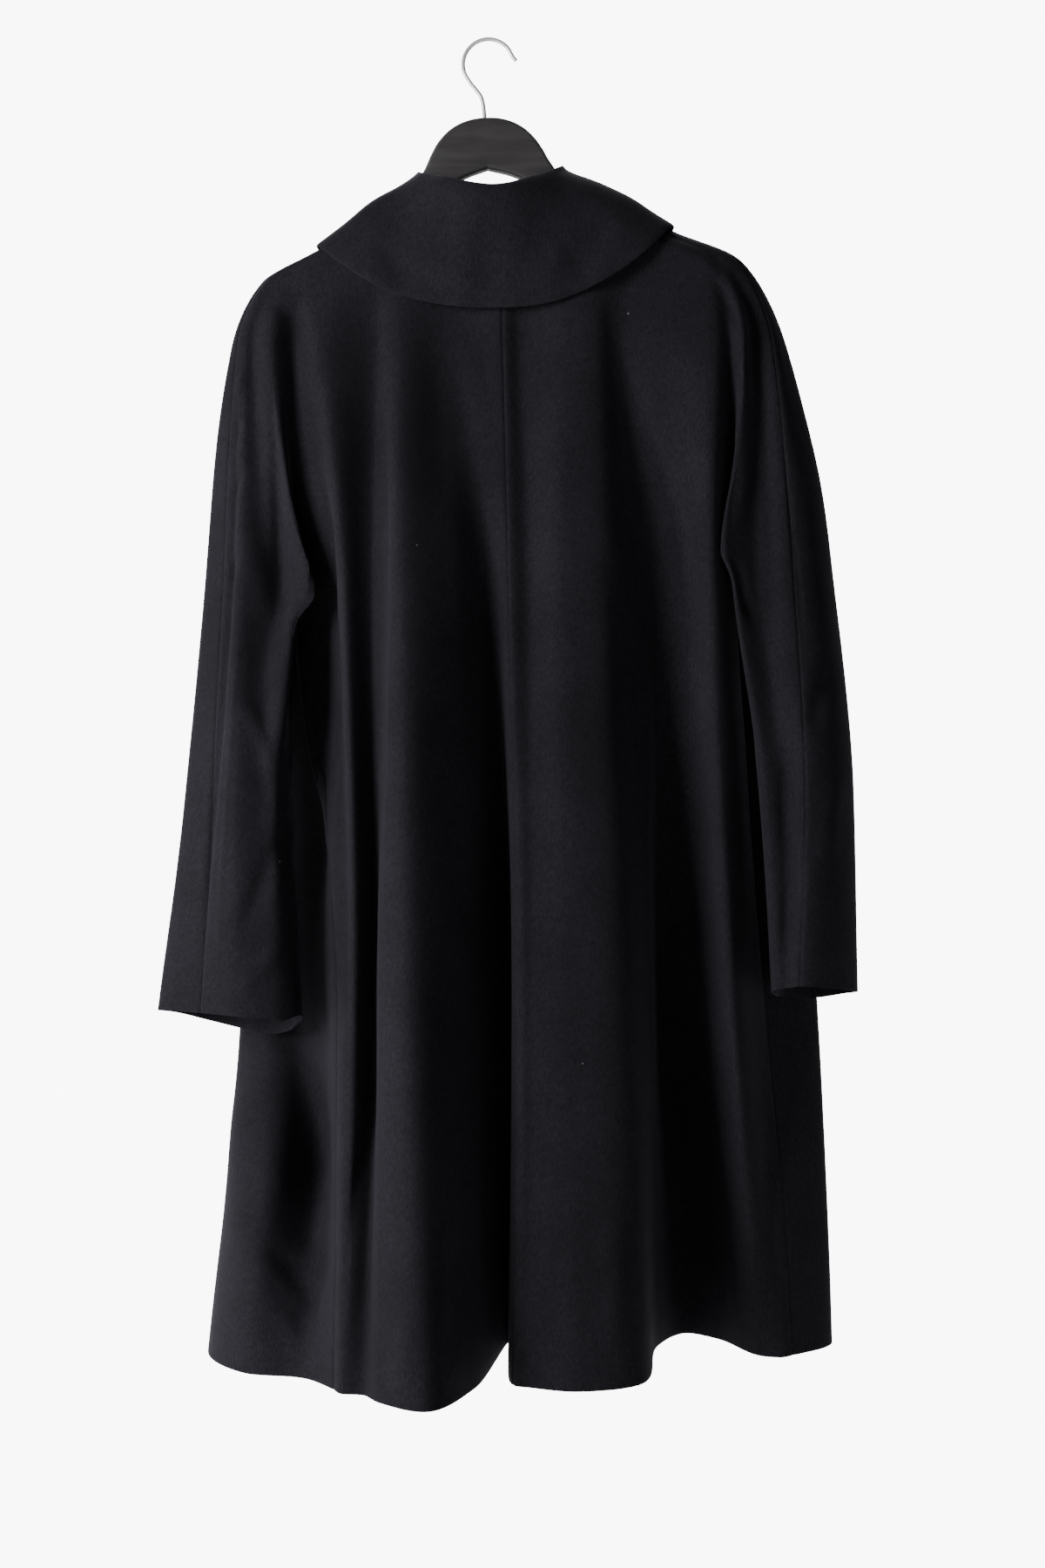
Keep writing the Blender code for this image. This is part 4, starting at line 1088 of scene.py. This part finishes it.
def cloth_object(name, sheet, wall, material, thins=False):
    """A cloth piece with its wall, which thins toward the last row where it is asked to."""
    mesh = bpy.data.meshes.new(name)
    mesh.from_pydata((sheet.points * MM).tolist(), [], sheet.faces)
    mesh.shade_smooth()
    mesh.materials.append(material)
    cloth = add_object(name, mesh)
    solidify = cloth.modifiers.new("wall", "SOLIDIFY")
    solidify.thickness = wall * MM
    solidify.offset = 0.0
    if thins:
        before_edge = (sheet.runs.max() - sheet.runs) / COLLAR_EDGE_RUN
        thickness = EDGE_SHARE + (1.0 - EDGE_SHARE) * smooth_step(before_edge)
        group = cloth.vertex_groups.new(name="thickness")
        for index, weight in enumerate(thickness.tolist()):
            group.add((index,), weight, "REPLACE")
        solidify.vertex_group = group.name
    bevel = cloth.modifiers.new("rim", "BEVEL")
    bevel.width = RIM_SHARE * wall * MM
    bevel.segments = RIM_SEGMENTS
    bevel.limit_method = "ANGLE"
    bevel.angle_limit = RIM_ANGLE
    return cloth


def declare(cloth, node, slot, flat, area):
    """Ride with the root and stand for the CAD node, which is hidden."""
    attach(cloth, "root")
    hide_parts(node)


def make_cloth(wool):
    """All cloth pieces, each side from its own table of folds."""
    left = CoatHalf(
        "left", LEFT_BACK, LEFT_SIDE, LEFT_FRONT, LEFT_SLEEVE, LEFT_INNER,
        RIGHT_BACK[0], RIGHT_FRONT[-1],
    )
    right = CoatHalf(
        "right", (LEFT_BACK[0], *RIGHT_BACK), RIGHT_SIDE, (*RIGHT_FRONT, LEFT_FRONT[-1]),
        RIGHT_SLEEVE, RIGHT_INNER, LEFT_BACK[1], LEFT_FRONT[-2],
    )
    for seed, half in enumerate((left, right), CLOTH_SEED):
        pieces = {"back": half.back(), "front": half.front(), "gusset": half.gusset()}
        for kind, sheet in pieces.items():
            node = f"{kind}_{half.name}"
            if kind != "gusset":
                sheet.points = sheet.points + sum(pull(sheet.points, *item) for item in PULLS)
                inward = seams_inward(sheet, seed)
                shape_cloth(sheet, inward, seed, CLOTH_WAVES, BACK_CREASES, FRONT_CREASES)
            cloth = cloth_object("cloth_" + node, sheet, CLOTH_WALL, wool)
            declare(cloth, node, "wool", *CUTS[node])
    sheet = collar_sheet()
    shape_cloth(sheet, 0.0, COLLAR_SEED, COLLAR_WAVES, COLLAR_BACK_CREASES, COLLAR_FRONT_CREASES)
    cloth = cloth_object("cloth_collar", sheet, COLLAR_WALL, wool, thins=True)
    declare(cloth, "collar", "wool", *CUTS["collar"])


def tilted(x, height):
    """A point of the hanger's own frame, seen in the coat's."""
    return (
        HANGER_TOP[0] + x * math.cos(HANGER_TILT) + height * math.sin(HANGER_TILT),
        HANGER_TOP[1] - x * math.sin(HANGER_TILT) + height * math.cos(HANGER_TILT),
    )


def make_hanger(wood):
    """The wooden hanger with well rounded edges."""
    half = HANGER_OVER + HANGER_UNDER
    outline = [(x, y, 0.0) for x, y in half]
    outline += [(-x, y, 0.0) for x, y in reversed(half[1:-1])]
    curve = bpy.data.curves.new("hanger_wood", "CURVE")
    curve.dimensions = "2D"
    curve.fill_mode = "BOTH"
    curve.extrude = (0.5 * HANGER_THICKNESS - HANGER_EDGE_ROUND) * MM
    curve.bevel_depth = HANGER_EDGE_ROUND * MM
    curve.bevel_resolution = 5
    curve.offset = -HANGER_EDGE_ROUND * MM
    places = np.arange(0.0, len(outline), OUTLINE_STEP)
    smooth = along(np.array([outline]), places[None, :], closed=True)[0]
    add_spline(curve, smooth).use_cyclic_u = True
    drawn = add_object("hanger_outline", curve)
    drawn.location = (HANGER_TOP[0] * MM, 0.0, HANGER_TOP[1] * MM)
    drawn.rotation_euler = (math.pi / 2.0, HANGER_TILT, 0.0)
    bpy.context.view_layer.update()
    evaluated = drawn.evaluated_get(bpy.context.evaluated_depsgraph_get())
    mesh = bpy.data.meshes.new_from_object(evaluated)
    mesh.transform(drawn.matrix_world)
    bpy.data.objects.remove(drawn)
    welded = bmesh.new()
    welded.from_mesh(mesh)
    bmesh.ops.remove_doubles(welded, verts=welded.verts, dist=WELD_DISTANCE * MM)
    welded.to_mesh(mesh)
    welded.free()
    mesh.materials.clear()
    mesh.materials.append(wood)
    mesh.shade_smooth()
    mesh.set_sharp_from_angle(angle=HANGER_SHARP_ANGLE)
    hanger = add_object("hanger_wood", mesh)
    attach(hanger, "root")
    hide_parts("hanger")


def make_hook(steel):
    """The wire hook: an arc over the rail, a return bend and a stem into the hanger."""
    route = [HOOK_TIP]
    for turn in np.radians(np.linspace(*HOOK_ARC, HOOK_ARC_POINTS)):
        route.append((
            HOOK_CENTRE[0] + HOOK_RADIUS * math.cos(turn),
            HOOK_CENTRE[1] + HOOK_RADIUS * math.sin(turn),
        ))
    route += [*HOOK_RETURN, tilted(0.0, HOOK_BEND_HEIGHT), tilted(0.0, -HOOK_STEM_DEPTH)]
    guide = np.array([[(x, 0.0, height) for x, height in route]])
    places = np.linspace(0.0, len(route) - 1.0, HOOK_STEPS * len(route))
    curve = bpy.data.curves.new("hook_wire", "CURVE")
    curve.dimensions = "3D"
    curve.bevel_depth = WIRE_RADIUS * MM
    curve.bevel_resolution = 6
    curve.use_fill_caps = True
    add_spline(curve, along(guide, places[None, :])[0])
    curve.materials.append(steel)
    hook = add_object("hook_wire", curve)
    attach(hook, "root")
    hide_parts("hook")


# ---------------- the studio
def add_lamp(name, place, target, size, power, colour):
    """A soft square lamp that points at its target."""
    light = bpy.data.lights.new(name, "AREA")
    light.size = size
    light.energy = power
    light.color = colour
    lamp = add_object(name, light)
    lamp.location = place
    lamp.rotation_euler = (Vector(target) - lamp.location).to_track_quat("-Z", "Y").to_euler()


def seen_as(tree, plain, seen, output, share):
    """Blend a share of another shader in where a surface is seen, but not where it lights."""
    part = tree.nodes.new("ShaderNodeMath")
    part.operation = "MULTIPLY"
    set_inputs(tree, part, {0: add_node(tree, "LightPath", "Is Camera Ray", {}), 1: share})
    blend = add_node(tree, "MixShader", "Shader", {0: part.outputs[0], 1: plain, 2: seen})
    set_inputs(tree, tree.nodes[output], {"Surface": blend})


def make_floor():
    """A pale floor that shows as bright as the light behind it."""
    mesh = bpy.data.meshes.new("studio_floor")
    disc = bmesh.new()
    bmesh.ops.create_circle(disc, cap_ends=True, segments=96, radius=FLOOR_RADIUS)
    disc.to_mesh(mesh)
    disc.free()
    floor = add_object("studio_floor", mesh)
    floor.location = (0.0, 0.0, FLOOR_HEIGHT)
    material, tree, shader, place = new_material("studio_floor", roughness=0.9)
    pale = ramp(tree, noise(tree, place, scale=3.0, detail=2.0), (0.2, 0.86), (0.8, 0.90))
    set_inputs(tree, shader, {"Base Color": pale, "Specular IOR Level": 0.1})
    glow = add_node(tree, "Emission", "Emission", {"Strength": FLOOR_GLOW})
    seen_as(tree, shader.outputs["BSDF"], glow, "Material Output", FLOOR_GLOW_SHARE)
    mesh.materials.append(material)


def make_world():
    """A faint light all round, and a bright white background behind the coat."""
    world = bpy.data.worlds.new("studio")
    bpy.context.scene.world = world
    world.use_nodes = True
    tree = world.node_tree
    around = tree.nodes["Background"]
    set_inputs(tree, around, {"Color": AROUND_COLOUR, "Strength": AROUND})
    white = {"Color": (1.0, 1.0, 1.0, 1.0), "Strength": BEHIND}
    behind = add_node(tree, "Background", "Background", white)
    seen_as(tree, around.outputs["Background"], behind, "World Output", 1.0)


def make_camera():
    """The photograph's camera, level and straight behind the coat."""
    eye = bpy.data.cameras.new("photo_camera")
    eye.lens = LENS
    eye.sensor_width = SENSOR_WIDTH
    eye.sensor_fit = "AUTO"
    camera = add_object("photo_camera", eye)
    camera.location = CAMERA_PLACE
    camera.rotation_euler = (math.pi / 2.0, 0.0, math.pi)
    bpy.context.scene.camera = camera


make_cloth(wool_material())
make_hanger(wood_material())
make_hook(steel_material())
make_floor()
make_world()
for lamp_row in LAMPS:
    add_lamp(*lamp_row)
make_camera()
